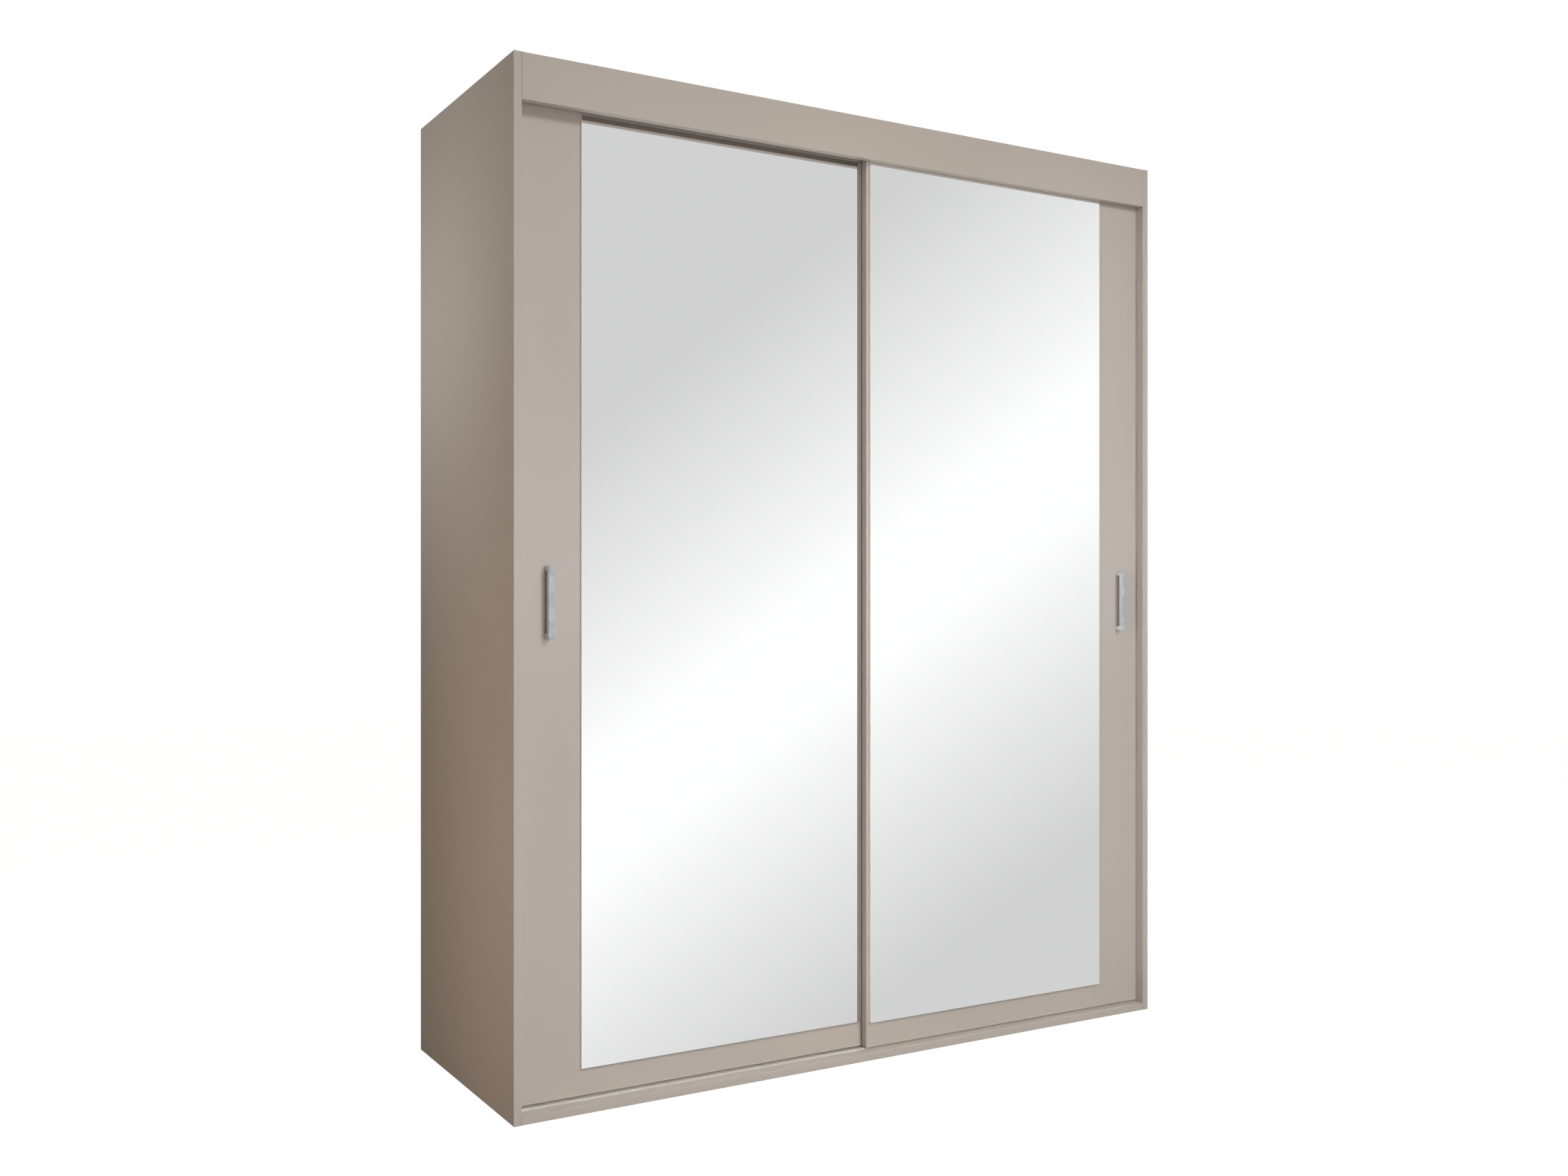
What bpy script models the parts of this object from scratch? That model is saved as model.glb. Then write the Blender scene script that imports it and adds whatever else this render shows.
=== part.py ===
"""Free-standing wardrobe with two sliding doors, each carrying a tall mirror.

The carcass is 16 mm board. Each door rolls on two grooved wheels along a rib of the
bottom track, and two sprung plungers in its top edge run in a channel under the top panel.

Origin: middle of the footprint, on the floor. +X right, +Y to the back, +Z up. Metres.
"""

import math

import bmesh
import bpy
from mathutils import Matrix, Vector

# Carcass
WIDTH = 1.600
DEPTH = 0.560
HEIGHT = 2.000
BOARD = 0.016
GAP = 0.0003                    # clearance between pieces that touch
OVERRUN = 0.002                 # how far a cutter runs past the face it opens
ARRIS = 0.0006                  # small chamfer on the banded board edges
FASCIA_HEIGHT = 0.088
INTERIOR_SETBACK = 0.076        # front plane to the divider and shelves
BACK_SHEET = 0.0027
BACK_SHEET_INSET = 0.001        # carcass edge to the sheets' edge
STRIP_FLANGE = 0.0008
STRIP_WEB = 0.001
STRIP_WIDTH = 0.020
STRIP_END_GAP = 0.002           # top and bottom panel to the joining strip's ends

# Doors
FRONT_DOOR_SETBACK = 0.0215     # front plane to the front door's face
DOOR_PITCH = 0.0217             # front door's face to the rear door's face
DOOR_BOTTOM = 0.020
DOOR_TOP = 1.960
DOOR_SIDE_GAP = 0.001
FRONT_DOOR_WIDTH = 0.779
REAR_DOOR_WIDTH = 0.796
MIRROR_WIDTH = 0.651
MIRROR_BOTTOM = 0.073
MIRROR_TOP = 1.914
MIRROR_THICKNESS = 0.004
MIRROR_ARRIS = 0.001
FRONT_MIRROR_MARGIN = 0.008     # mirror edge to the door's inner edge
REAR_MIRROR_MARGIN = 0.009

# Handles, on 128 mm screw centres
HANDLE_CENTRE_HEIGHT = 0.974
HANDLE_SPACING = 0.128
HANDLE_LEG = 0.0095
HANDLE_WIDTH = 0.012
HANDLE_BAR = 0.010
HANDLE_REACH = 0.021
HANDLE_ARRIS = 0.0007
HANDLE_FROM_OUTER_EDGE = 0.0585
REAR_HANDLE_FROM_OUTER_EDGE = 0.0675
SCREW_HOLE_RADIUS = 0.0021
SCREW_RADIUS = 0.0018
SCREW_HEAD_RADIUS = 0.0039
SCREW_HEAD_HEIGHT = 0.0026
SCREW_POINT = 0.0005
SCREW_TIP_CLEARANCE = 0.001     # hole left beyond the screw's point
COUNTERBORE_RADIUS = 0.0045
COUNTERBORE_DEPTH = 0.0035
SCREW_INTO_LEG = 0.008

# Rollers in the doors' bottom edge
FITTING_INSET = 0.060           # door edge to the middle of a roller or guide
FITTING_DEPTH = 0.013           # how deep a roller or guide is let into the door's back
ROLLER_HOUSING_WIDTH = 0.050
ROLLER_HOUSING_HEIGHT = 0.038
WHEEL_TREAD_RADIUS = 0.0115
WHEEL_FLANGE_RADIUS = 0.0127
WHEEL_THICKNESS = 0.005
WHEEL_POCKET = 0.0062
WHEEL_POCKET_RADIUS = 0.0138
WHEEL_HEADROOM = 0.0008
GROOVE_PLAY = 0.0004            # rib to the groove's floor, each side
GROOVE_FLARE = 0.0004           # how much wider the groove is at its mouth, each side
AXLE_RADIUS = 0.002
AXLE_NOSE = 0.0004

# Sprung guides in the doors' top edge
GUIDE_HOUSING_WIDTH = 0.030
GUIDE_HOUSING_HEIGHT = 0.046
PLUNGER_RADIUS = 0.0035
PLUNGER_BORE_RADIUS = 0.0038
PLUNGER_BORE_DEPTH = 0.036
PLUNGER_LENGTH = 0.030
PLUNGER_REACH = 0.014           # how far it stands out of the door's top edge
PLUNGER_TRAVEL = 0.010
PLUNGER_NOSE = 0.001
THUMB_LUG_WIDTH = 0.004
THUMB_LUG_HEIGHT = 0.004
THUMB_LUG_RISE = 0.003          # plunger's foot to the lug's underside
THUMB_LUG_SETBACK = 0.0006      # lug's end behind the housing's face
THUMB_LUG_PLAY = 0.0005
SPRING_RADIUS = 0.0028
SPRING_WIRE_RADIUS = 0.00035
SPRING_TURNS = 5

# Tracks
RIB_TOP = 0.0195
RIB_WIDTH = 0.002
TRACK_PLATE = 0.0015
TRACK_FRONT = 0.025             # front plane to the track's front edge
TRACK_WIDTH = 0.037
CHANNEL_INSIDE = 0.008
CHANNEL_WALL = 0.0013
CHANNEL_DEPTH = 0.018
DOOR_TRAVEL = 0.700
STOP_LENGTH = 0.018
STOP_PLAY = 0.001               # plunger to its stop at the end of the travel

# Interior
HAT_SHELF_TOP = 1.700
SHELF_SETBACK = 0.004           # divider's front edge to the shelves' front edge
LOWER_SHELVES = 4
ADJUSTABLE_SHELF = 2            # counted from the bottom
ADJUSTABLE_SHELF_PLAY = 0.002   # at each end
RAIL_HEIGHT = 1.630
RAIL_OVAL_HEIGHT = 0.030
RAIL_OVAL_WIDTH = 0.015
RAIL_WALL = 0.0012
SOCKET_DEPTH = 0.012
SOCKET_WIDTH = 0.032
SOCKET_HEIGHT = 0.044
SOCKET_BACK = 0.003
SOCKET_PLAY = 0.0004
SOCKET_ARRIS = 0.001
PIN_RADIUS = 0.0025
PIN_COLLAR_RADIUS = 0.0040
PIN_COLLAR = 0.0015
PIN_IN_BOARD = 0.009
PIN_OUT = 0.009
PIN_END_CLEARANCE = 0.001
PIN_FROM_EDGE = 0.045           # shelf's front or back to the pins

LEFT = -WIDTH / 2
RIGHT = WIDTH / 2
FRONT = -DEPTH / 2
BACK = DEPTH / 2
BAY_LEFT = LEFT + BOARD + GAP
BAY_RIGHT = RIGHT - BOARD - GAP
SHEET_BACK = BACK - STRIP_FLANGE - GAP
SHEET_FRONT = SHEET_BACK - BACK_SHEET
STRIP_FRONT = SHEET_FRONT - GAP - STRIP_FLANGE
CARCASS_BACK = SHEET_FRONT - GAP
INTERIOR_FRONT = FRONT + INTERIOR_SETBACK
INTERIOR_BACK = STRIP_FRONT - GAP
FLOOR_TOP = BOARD
CEILING = HEIGHT - BOARD
RAIL_MIDDLE = (INTERIOR_FRONT + INTERIOR_BACK) / 2

COLOURS = {
    # name: (base colour, roughness, metallic)
    "laminate": ((0.445, 0.392, 0.352), 0.45, 0.0),
    "back_sheet": ((0.55, 0.50, 0.45), 0.60, 0.0),
    "mirror": ((0.90, 0.91, 0.91), 0.03, 1.0),
    "satin_metal": ((0.40, 0.41, 0.42), 0.35, 1.0),
    "track_metal": ((0.58, 0.53, 0.49), 0.40, 0.3),
    "steel": ((0.62, 0.62, 0.63), 0.28, 1.0),
    "grey_plastic": ((0.22, 0.21, 0.20), 0.50, 0.0),
    "nylon": ((0.78, 0.77, 0.74), 0.42, 0.0),
}


def clear_scene():
    """Removes whatever the file opened with."""
    for old in list(bpy.data.objects):
        bpy.data.objects.remove(old, do_unlink=True)


def new_collection(name):
    """A collection linked to the scene."""
    made = bpy.data.collections.new(name)
    bpy.context.scene.collection.children.link(made)
    return made


def make_materials():
    """One Principled material per finish."""
    made = {}
    for name, (colour, roughness, metallic) in COLOURS.items():
        material = bpy.data.materials.new(name)
        material.use_nodes = True
        shader = material.node_tree.nodes["Principled BSDF"]
        shader.inputs["Base Color"].default_value = (*colour, 1.0)
        shader.inputs["Roughness"].default_value = roughness
        shader.inputs["Metallic"].default_value = metallic
        made[name] = material
    return made


clear_scene()
PARTS = new_collection("sliding_wardrobe")
CUTTERS = new_collection("cutters")
MATERIALS = make_materials()


def add_object(name, data, finish, parent=None, at=(0.0, 0.0, 0.0)):
    """Puts a mesh or curve into the wardrobe, in its finish, at a place in the world."""
    made = bpy.data.objects.new(name, data)
    if finish:
        data.materials.append(MATERIALS[finish])
        PARTS.objects.link(made)
    else:
        CUTTERS.objects.link(made)
        made.hide_render = True
        made.display_type = "WIRE"
    if parent:
        made.parent = parent
        at = Vector(at) - parent.matrix_world.translation
    made.location = at
    return made


def moving_frame(name, at):
    """An empty on a joint's axis, which the moving pieces are parented to."""
    made = bpy.data.objects.new(name, None)
    PARTS.objects.link(made)
    made.location = at
    bpy.context.view_layer.update()
    return made


def chamfer(piece, width):
    """Breaks the sharp edges of a piece."""
    bevel = piece.modifiers.new("chamfer", "BEVEL")
    bevel.width = width
    bevel.segments = 1
    bevel.limit_method = "ANGLE"
    return piece


def block(name, x, y, z, finish, parent=None, arris=ARRIS):
    """A rectangular piece between low and high x, y and z."""
    low = Vector((x[0], y[0], z[0]))
    high = Vector((x[1], y[1], z[1]))
    shape = bmesh.new()
    bmesh.ops.create_cube(shape, size=1.0)
    bmesh.ops.scale(shape, vec=high - low, verts=shape.verts)
    mesh = bpy.data.meshes.new(name)
    shape.to_mesh(mesh)
    shape.free()
    made = add_object(name, mesh, finish, parent, (low + high) / 2)
    if arris:
        chamfer(made, arris)
    return made


def cutter_block(name, x, y, z):
    """A rectangular cutter."""
    return block(name, x, y, z, None, arris=0)


def cutter_rod(name, centre, radius, length, axis, sides=24):
    """A round cutter, centred on a point, along X, Y or Z."""
    shape = bmesh.new()
    bmesh.ops.create_cone(
        shape, cap_ends=True, segments=sides, radius1=radius, radius2=radius, depth=length
    )
    turn = {"X": Matrix.Rotation(math.pi / 2, 3, "Y"), "Y": Matrix.Rotation(math.pi / 2, 3, "X")}
    if axis in turn:
        bmesh.ops.rotate(shape, matrix=turn[axis], verts=shape.verts)
    mesh = bpy.data.meshes.new(name)
    shape.to_mesh(mesh)
    shape.free()
    return add_object(name, mesh, None, at=centre)


def cut(piece, cutter):
    """Takes the cutter's shape out of a piece."""
    boolean = piece.modifiers.new(cutter.name, "BOOLEAN")
    boolean.operation = "DIFFERENCE"
    boolean.object = cutter


def join(piece, addition):
    """Adds the cutter's shape to a piece."""
    boolean = piece.modifiers.new(addition.name, "BOOLEAN")
    boolean.operation = "UNION"
    boolean.object = addition


def turned(name, profile, closed, finish, at, axis, steps, parent=None):
    """A turned piece. The profile is (radius, height) points, outer side from top to bottom."""
    mesh = bpy.data.meshes.new(name)
    edges = [(i, i + 1) for i in range(len(profile) - 1)]
    if closed:
        edges.append((len(profile) - 1, 0))
    mesh.from_pydata([(radius, 0.0, height) for radius, height in profile], edges, [])
    made = add_object(name, mesh, finish, parent, at)
    if axis == "Y":
        made.rotation_euler = (math.pi / 2, 0.0, 0.0)
    elif axis == "X":
        made.rotation_euler = (0.0, math.pi / 2, 0.0)
    screw = made.modifiers.new("turn", "SCREW")
    screw.steps = steps
    screw.render_steps = steps
    screw.use_merge_vertices = True
    screw.merge_threshold = 0.00005
    screw.use_smooth_shade = False
    return made


def extrusion(name, outlines, axis, low, high, finish):
    """A profile drawn on the other two axes, extruded along X or Z from low to high."""
    curve = bpy.data.curves.new(name, "CURVE")
    curve.dimensions = "2D"
    curve.fill_mode = "BOTH"
    curve.extrude = (high - low) / 2
    for outline in outlines:
        spline = curve.splines.new("POLY")
        spline.points.add(len(outline) - 1)
        for point, (across, up) in zip(spline.points, outline):
            point.co = (across, up, 0.0, 1.0)
        spline.use_cyclic_u = True
    middle = (low + high) / 2
    place = (middle, 0.0, 0.0) if axis == "X" else (0.0, 0.0, middle)
    made = add_object(name, curve, finish, at=place)
    if axis == "X":
        made.rotation_euler = (math.pi / 2, 0.0, math.pi / 2)
    return made


def stadium(width, height, middle, sides=16):
    """A flat-sided oval standing upright, as points round a middle."""
    radius = width / 2
    straight = height / 2 - radius
    points = []
    for step in range(sides + 1):
        angle = math.pi * step / sides
        points.append((middle[0] + radius * math.cos(angle), middle[1] + straight + radius * math.sin(angle)))
    for step in range(sides + 1):
        angle = math.pi + math.pi * step / sides
        points.append((middle[0] + radius * math.cos(angle), middle[1] - straight + radius * math.sin(angle)))
    return points


def make_carcass():
    """Sides, top, bottom, fascia, divider and back."""
    sides = {}
    for name, x in (
        ("side_panel_left", (LEFT, LEFT + BOARD)),
        ("side_panel_right", (RIGHT - BOARD, RIGHT)),
    ):
        sides[name] = block(name, x, (FRONT, CARCASS_BACK), (0.0, HEIGHT), "laminate")
    across = (BAY_LEFT, BAY_RIGHT)
    block("bottom_panel", across, (FRONT, CARCASS_BACK), (0.0, FLOOR_TOP), "laminate")
    block("top_fascia", across, (FRONT, FRONT + BOARD), (HEIGHT - FASCIA_HEIGHT, HEIGHT), "laminate")
    behind_fascia = FRONT + BOARD + GAP
    block("top_panel", across, (behind_fascia, CARCASS_BACK), (CEILING, HEIGHT), "laminate")
    sides["centre_divider"] = block(
        "centre_divider",
        (-BOARD / 2, BOARD / 2),
        (INTERIOR_FRONT, INTERIOR_BACK),
        (FLOOR_TOP + GAP, CEILING - GAP),
        "laminate",
    )
    half_web = STRIP_WEB / 2
    inset = BACK_SHEET_INSET
    for name, x in (
        ("back_panel_left", (LEFT + inset, -half_web - GAP)),
        ("back_panel_right", (half_web + GAP, RIGHT - inset)),
    ):
        block(name, x, (SHEET_FRONT, SHEET_BACK), (inset, HEIGHT - inset), "back_sheet", arris=0)
    half = STRIP_WIDTH / 2
    rear = BACK - STRIP_FLANGE
    front = STRIP_FRONT + STRIP_FLANGE
    strip = [
        (-half, STRIP_FRONT), (half, STRIP_FRONT), (half, front), (half_web, front),
        (half_web, rear), (half, rear), (half, BACK), (-half, BACK),
        (-half, rear), (-half_web, rear), (-half_web, front), (-half, front),
    ]
    end = BOARD + STRIP_END_GAP
    extrusion("back_joining_strip", [strip], "Z", end, HEIGHT - end, "nylon")
    return sides


def shelf_heights():
    """Top face of each lower shelf, bottom one first."""
    clear = (HAT_SHELF_TOP - FLOOR_TOP) / (LOWER_SHELVES + 1)
    return [FLOOR_TOP + clear * (step + 1) for step in range(LOWER_SHELVES)]


def make_shelves():
    """A hat shelf in each bay and a stack of shelves in the right bay."""
    depth = (INTERIOR_FRONT + SHELF_SETBACK, INTERIOR_BACK)
    left_bay = (BAY_LEFT, -BOARD / 2 - GAP)
    right_bay = (BOARD / 2 + GAP, BAY_RIGHT)
    block("hat_shelf_left", left_bay, depth, (HAT_SHELF_TOP - BOARD, HAT_SHELF_TOP), "laminate")
    block("hat_shelf_right", right_bay, depth, (HAT_SHELF_TOP - BOARD, HAT_SHELF_TOP), "laminate")
    for count, top in enumerate(shelf_heights(), 1):
        ends = right_bay
        if count == ADJUSTABLE_SHELF:
            ends = (right_bay[0] + ADJUSTABLE_SHELF_PLAY, right_bay[1] - ADJUSTABLE_SHELF_PLAY)
        block(f"shelf_{count}", ends, depth, (top - BOARD, top), "laminate")


def make_shelf_pins(boards):
    """Four steel pins under the adjustable shelf, in holes bored in the divider and right side."""
    underside = shelf_heights()[ADJUSTABLE_SHELF - 1] - BOARD
    height = underside - GAP - PIN_RADIUS
    hole = PIN_RADIUS + GAP
    rows = {"front": INTERIOR_FRONT + PIN_FROM_EDGE, "back": INTERIOR_BACK - PIN_FROM_EDGE}
    collar_out = PIN_COLLAR + GAP
    profile = [
        (0.0, PIN_OUT), (PIN_RADIUS, PIN_OUT), (PIN_RADIUS, collar_out), (PIN_COLLAR_RADIUS, collar_out),
        (PIN_COLLAR_RADIUS, GAP), (PIN_RADIUS, GAP), (PIN_RADIUS, -PIN_IN_BOARD), (0.0, -PIN_IN_BOARD),
    ]
    for side, board, face, facing in (
        ("left", boards["centre_divider"], BOARD / 2, 1),
        ("right", boards["side_panel_right"], RIGHT - BOARD, -1),
    ):
        for row, y in rows.items():
            name = f"shelf_pin_{side}_{row}"
            pin = turned(name, profile, False, "steel", (face, y, height), "X", 16)
            if facing < 0:
                pin.rotation_euler = (0.0, -math.pi / 2, 0.0)
            depth = PIN_IN_BOARD + PIN_END_CLEARANCE
            middle = face + facing * (OVERRUN - depth) / 2
            bore = cutter_rod(f"bore_{name}", (middle, y, height), hole, depth + OVERRUN, "X", 16)
            cut(board, bore)


def make_hanging_rail():
    """An oval tube that drops into an open-topped socket at each end."""
    middle = (RAIL_MIDDLE, RAIL_HEIGHT)
    outer = stadium(RAIL_OVAL_WIDTH, RAIL_OVAL_HEIGHT, middle, 10)
    inner = stadium(RAIL_OVAL_WIDTH - 2 * RAIL_WALL, RAIL_OVAL_HEIGHT - 2 * RAIL_WALL, middle, 10)
    left = LEFT + BOARD + GAP
    right = -BOARD / 2 - GAP
    low = left + SOCKET_BACK + GAP
    high = right - SOCKET_BACK - GAP
    extrusion("hanging_rail", [outer, inner], "X", low, high, "steel")
    slot_half = RAIL_OVAL_WIDTH / 2 + SOCKET_PLAY
    bottom = RAIL_HEIGHT - RAIL_OVAL_HEIGHT / 2 + RAIL_OVAL_WIDTH / 2
    top = RAIL_HEIGHT + SOCKET_HEIGHT
    for name, wall, facing in (("rail_socket_left", left, 1), ("rail_socket_right", right, -1)):
        ends = sorted((wall, wall + facing * SOCKET_DEPTH))
        open_ends = sorted((wall + facing * SOCKET_BACK, wall + facing * (SOCKET_DEPTH + OVERRUN)))
        middle_x = sum(open_ends) / 2
        length = open_ends[1] - open_ends[0]
        socket = block(
            name,
            ends,
            (RAIL_MIDDLE - SOCKET_WIDTH / 2, RAIL_MIDDLE + SOCKET_WIDTH / 2),
            (RAIL_HEIGHT - SOCKET_HEIGHT / 2, RAIL_HEIGHT + SOCKET_HEIGHT / 2),
            "satin_metal",
            arris=SOCKET_ARRIS,
        )
        entry = cutter_block(
            f"{name}_entry",
            open_ends,
            (RAIL_MIDDLE - slot_half, RAIL_MIDDLE + slot_half),
            (bottom, top),
        )
        seat = cutter_rod(f"{name}_seat", (middle_x, RAIL_MIDDLE, bottom), slot_half, length, "X", 20)
        cut(socket, entry)
        cut(socket, seat)


def door_planes():
    """Middle plane, in y, of the front and the rear door."""
    front = FRONT + FRONT_DOOR_SETBACK + BOARD / 2
    return {"front": front, "rear": front + DOOR_PITCH}


def make_bottom_track():
    """A flat plate with one rib under each door."""
    bottom = FLOOR_TOP + GAP
    plate_top = bottom + TRACK_PLATE
    low = FRONT + TRACK_FRONT
    high = low + TRACK_WIDTH
    half = RIB_WIDTH / 2
    outline = [(low, bottom), (high, bottom), (high, plate_top)]
    for middle in (door_planes()["rear"], door_planes()["front"]):
        outline += [
            (middle + half, plate_top), (middle + half, RIB_TOP),
            (middle - half, RIB_TOP), (middle - half, plate_top),
        ]
    outline.append((low, plate_top))
    extrusion("bottom_track", [outline], "X", BAY_LEFT, BAY_RIGHT, "track_metal")


def channel_outline(middle, ceiling, lip):
    """One open channel's two walls, from the lip in front round to the lip behind."""
    inner = CHANNEL_INSIDE / 2
    outer = inner + CHANNEL_WALL
    return [
        (middle - outer, lip), (middle - inner, lip), (middle - inner, ceiling),
        (middle + inner, ceiling), (middle + inner, lip), (middle + outer, lip),
    ]


def make_top_track():
    """Two open channels under the top panel, joined by a flat plate."""
    top = CEILING - GAP
    plate_bottom = top - TRACK_PLATE
    lip = top - CHANNEL_DEPTH
    front, rear = door_planes()["front"], door_planes()["rear"]
    half = CHANNEL_INSIDE / 2 + CHANNEL_WALL
    outline = [
        (rear + half, top), (front - half, top),
        *channel_outline(front, plate_bottom, lip),
        (front + half, plate_bottom), (rear - half, plate_bottom),
        *channel_outline(rear, plate_bottom, lip),
    ]
    extrusion("top_track", [outline], "X", BAY_LEFT, BAY_RIGHT, "track_metal")


def make_track_stops(edges):
    """A block in each top channel that a guide plunger meets at the end of its door's travel."""
    front_plunger = edges["front"][0] + FITTING_INSET - DOOR_TRAVEL - PLUNGER_RADIUS
    rear_plunger = edges["rear"][1] - FITTING_INSET + DOOR_TRAVEL + PLUNGER_RADIUS
    places = {
        "front": (front_plunger - STOP_PLAY - STOP_LENGTH, front_plunger - STOP_PLAY),
        "rear": (rear_plunger + STOP_PLAY, rear_plunger + STOP_PLAY + STOP_LENGTH),
    }
    half = CHANNEL_INSIDE / 2 - GAP
    top = CEILING - GAP - TRACK_PLATE - GAP
    bottom = CEILING - CHANNEL_DEPTH
    for door, x in places.items():
        middle = door_planes()[door]
        block(f"{door}_door_stop", x, (middle - half, middle + half), (bottom, top), "grey_plastic")


def make_handle(door, frame, x, face):
    """A square bar handle with a leg at each end, and the two screws that hold it."""
    half = HANDLE_SPACING / 2
    leg_low = half - HANDLE_LEG / 2
    leg_high = half + HANDLE_LEG / 2
    z = HANDLE_CENTRE_HEIGHT
    handle = block(
        f"{door}_door_handle",
        (x - HANDLE_WIDTH / 2, x + HANDLE_WIDTH / 2),
        (face - HANDLE_REACH, face - GAP),
        (z - leg_high, z + leg_high),
        "satin_metal",
        frame,
        arris=0,
    )
    opening = cutter_block(
        f"{door}_finger_gap",
        (x - HANDLE_WIDTH, x + HANDLE_WIDTH),
        (face - HANDLE_REACH + HANDLE_BAR, face + OVERRUN),
        (z - leg_low, z + leg_low),
    )
    cut(handle, opening)
    chamfer(handle, HANDLE_ARRIS)
    back = face + BOARD
    seat = back - COUNTERBORE_DEPTH
    tip = face - SCREW_INTO_LEG
    head = SCREW_HEAD_HEIGHT
    profile = [
        (0.0, head), (SCREW_HEAD_RADIUS * 0.75, head), (SCREW_HEAD_RADIUS, head * 0.6),
        (SCREW_HEAD_RADIUS, GAP), (SCREW_RADIUS, GAP), (SCREW_RADIUS, tip - seat + SCREW_POINT),
        (SCREW_RADIUS * 0.6, tip - seat), (0.0, tip - seat),
    ]
    holes = []
    for end, height in (("bottom", z - half), ("top", z + half)):
        name = f"{door}_handle_screw_{end}"
        screw = turned(name, profile, False, "steel", (x, seat, height), "Y", 12, frame)
        screw.rotation_euler = (-math.pi / 2, 0.0, 0.0)
        hole_end = tip - SCREW_TIP_CLEARANCE
        outside = back + OVERRUN
        shank = cutter_rod(
            f"{name}_hole", (x, (hole_end + outside) / 2, height), SCREW_HOLE_RADIUS, outside - hole_end, "Y", 12
        )
        bore = cutter_rod(
            f"{name}_bore", (x, (seat + outside) / 2, height), COUNTERBORE_RADIUS, outside - seat, "Y", 16
        )
        cut(handle, shank)
        holes += [shank, bore]
    return holes


def make_roller(name, door_frame, x, back, plane):
    """A grooved wheel on a steel axle, in a housing let into the door's bottom edge."""
    half = ROLLER_HOUSING_WIDTH / 2
    top = DOOR_BOTTOM + ROLLER_HOUSING_HEIGHT
    front = back - FITTING_DEPTH
    axle_height = RIB_TOP + GAP + WHEEL_TREAD_RADIUS
    housing = block(
        f"{name}_housing",
        (x - half + GAP, x + half - GAP),
        (front + GAP, back),
        (DOOR_BOTTOM, top - GAP),
        "grey_plastic",
        door_frame,
        arris=0,
    )
    roof = axle_height + WHEEL_FLANGE_RADIUS + WHEEL_HEADROOM
    pocket = cutter_block(
        f"{name}_pocket",
        (x - WHEEL_POCKET_RADIUS, x + WHEEL_POCKET_RADIUS),
        (plane - WHEEL_POCKET / 2, plane + WHEEL_POCKET / 2),
        (DOOR_BOTTOM - OVERRUN, roof),
    )
    middle = back - FITTING_DEPTH / 2
    bore = cutter_rod(
        f"{name}_axle_bore", (x, middle, axle_height), AXLE_RADIUS + GAP, FITTING_DEPTH + 2 * OVERRUN, "Y", 16
    )
    cut(housing, pocket)
    cut(housing, bore)
    half_axle = (FITTING_DEPTH - 3 * GAP) / 2
    nose = AXLE_NOSE
    pin = [
        (0.0, half_axle), (AXLE_RADIUS - nose, half_axle), (AXLE_RADIUS, half_axle - nose),
        (AXLE_RADIUS, nose - half_axle), (AXLE_RADIUS - nose, -half_axle), (0.0, -half_axle),
    ]
    turned(f"{name}_axle", pin, False, "steel", (x, middle, axle_height), "Y", 16, door_frame)
    rim = WHEEL_THICKNESS / 2
    tread = RIB_WIDTH / 2 + GROOVE_PLAY
    flare = tread + GROOVE_FLARE
    wheel = [
        (AXLE_RADIUS + GAP, rim), (WHEEL_FLANGE_RADIUS - GAP, rim), (WHEEL_FLANGE_RADIUS, rim - GAP),
        (WHEEL_FLANGE_RADIUS, flare), (WHEEL_TREAD_RADIUS, tread), (WHEEL_TREAD_RADIUS, -tread),
        (WHEEL_FLANGE_RADIUS, -flare), (WHEEL_FLANGE_RADIUS, GAP - rim), (WHEEL_FLANGE_RADIUS - GAP, -rim),
        (AXLE_RADIUS + GAP, -rim),
    ]
    turned(f"{name}_wheel", wheel, True, "nylon", (x, plane, axle_height), "Y", 32, door_frame)
    return cutter_block(
        f"{name}_mortise",
        (x - half, x + half),
        (front, back + OVERRUN),
        (DOOR_BOTTOM - OVERRUN, top),
    )


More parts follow.
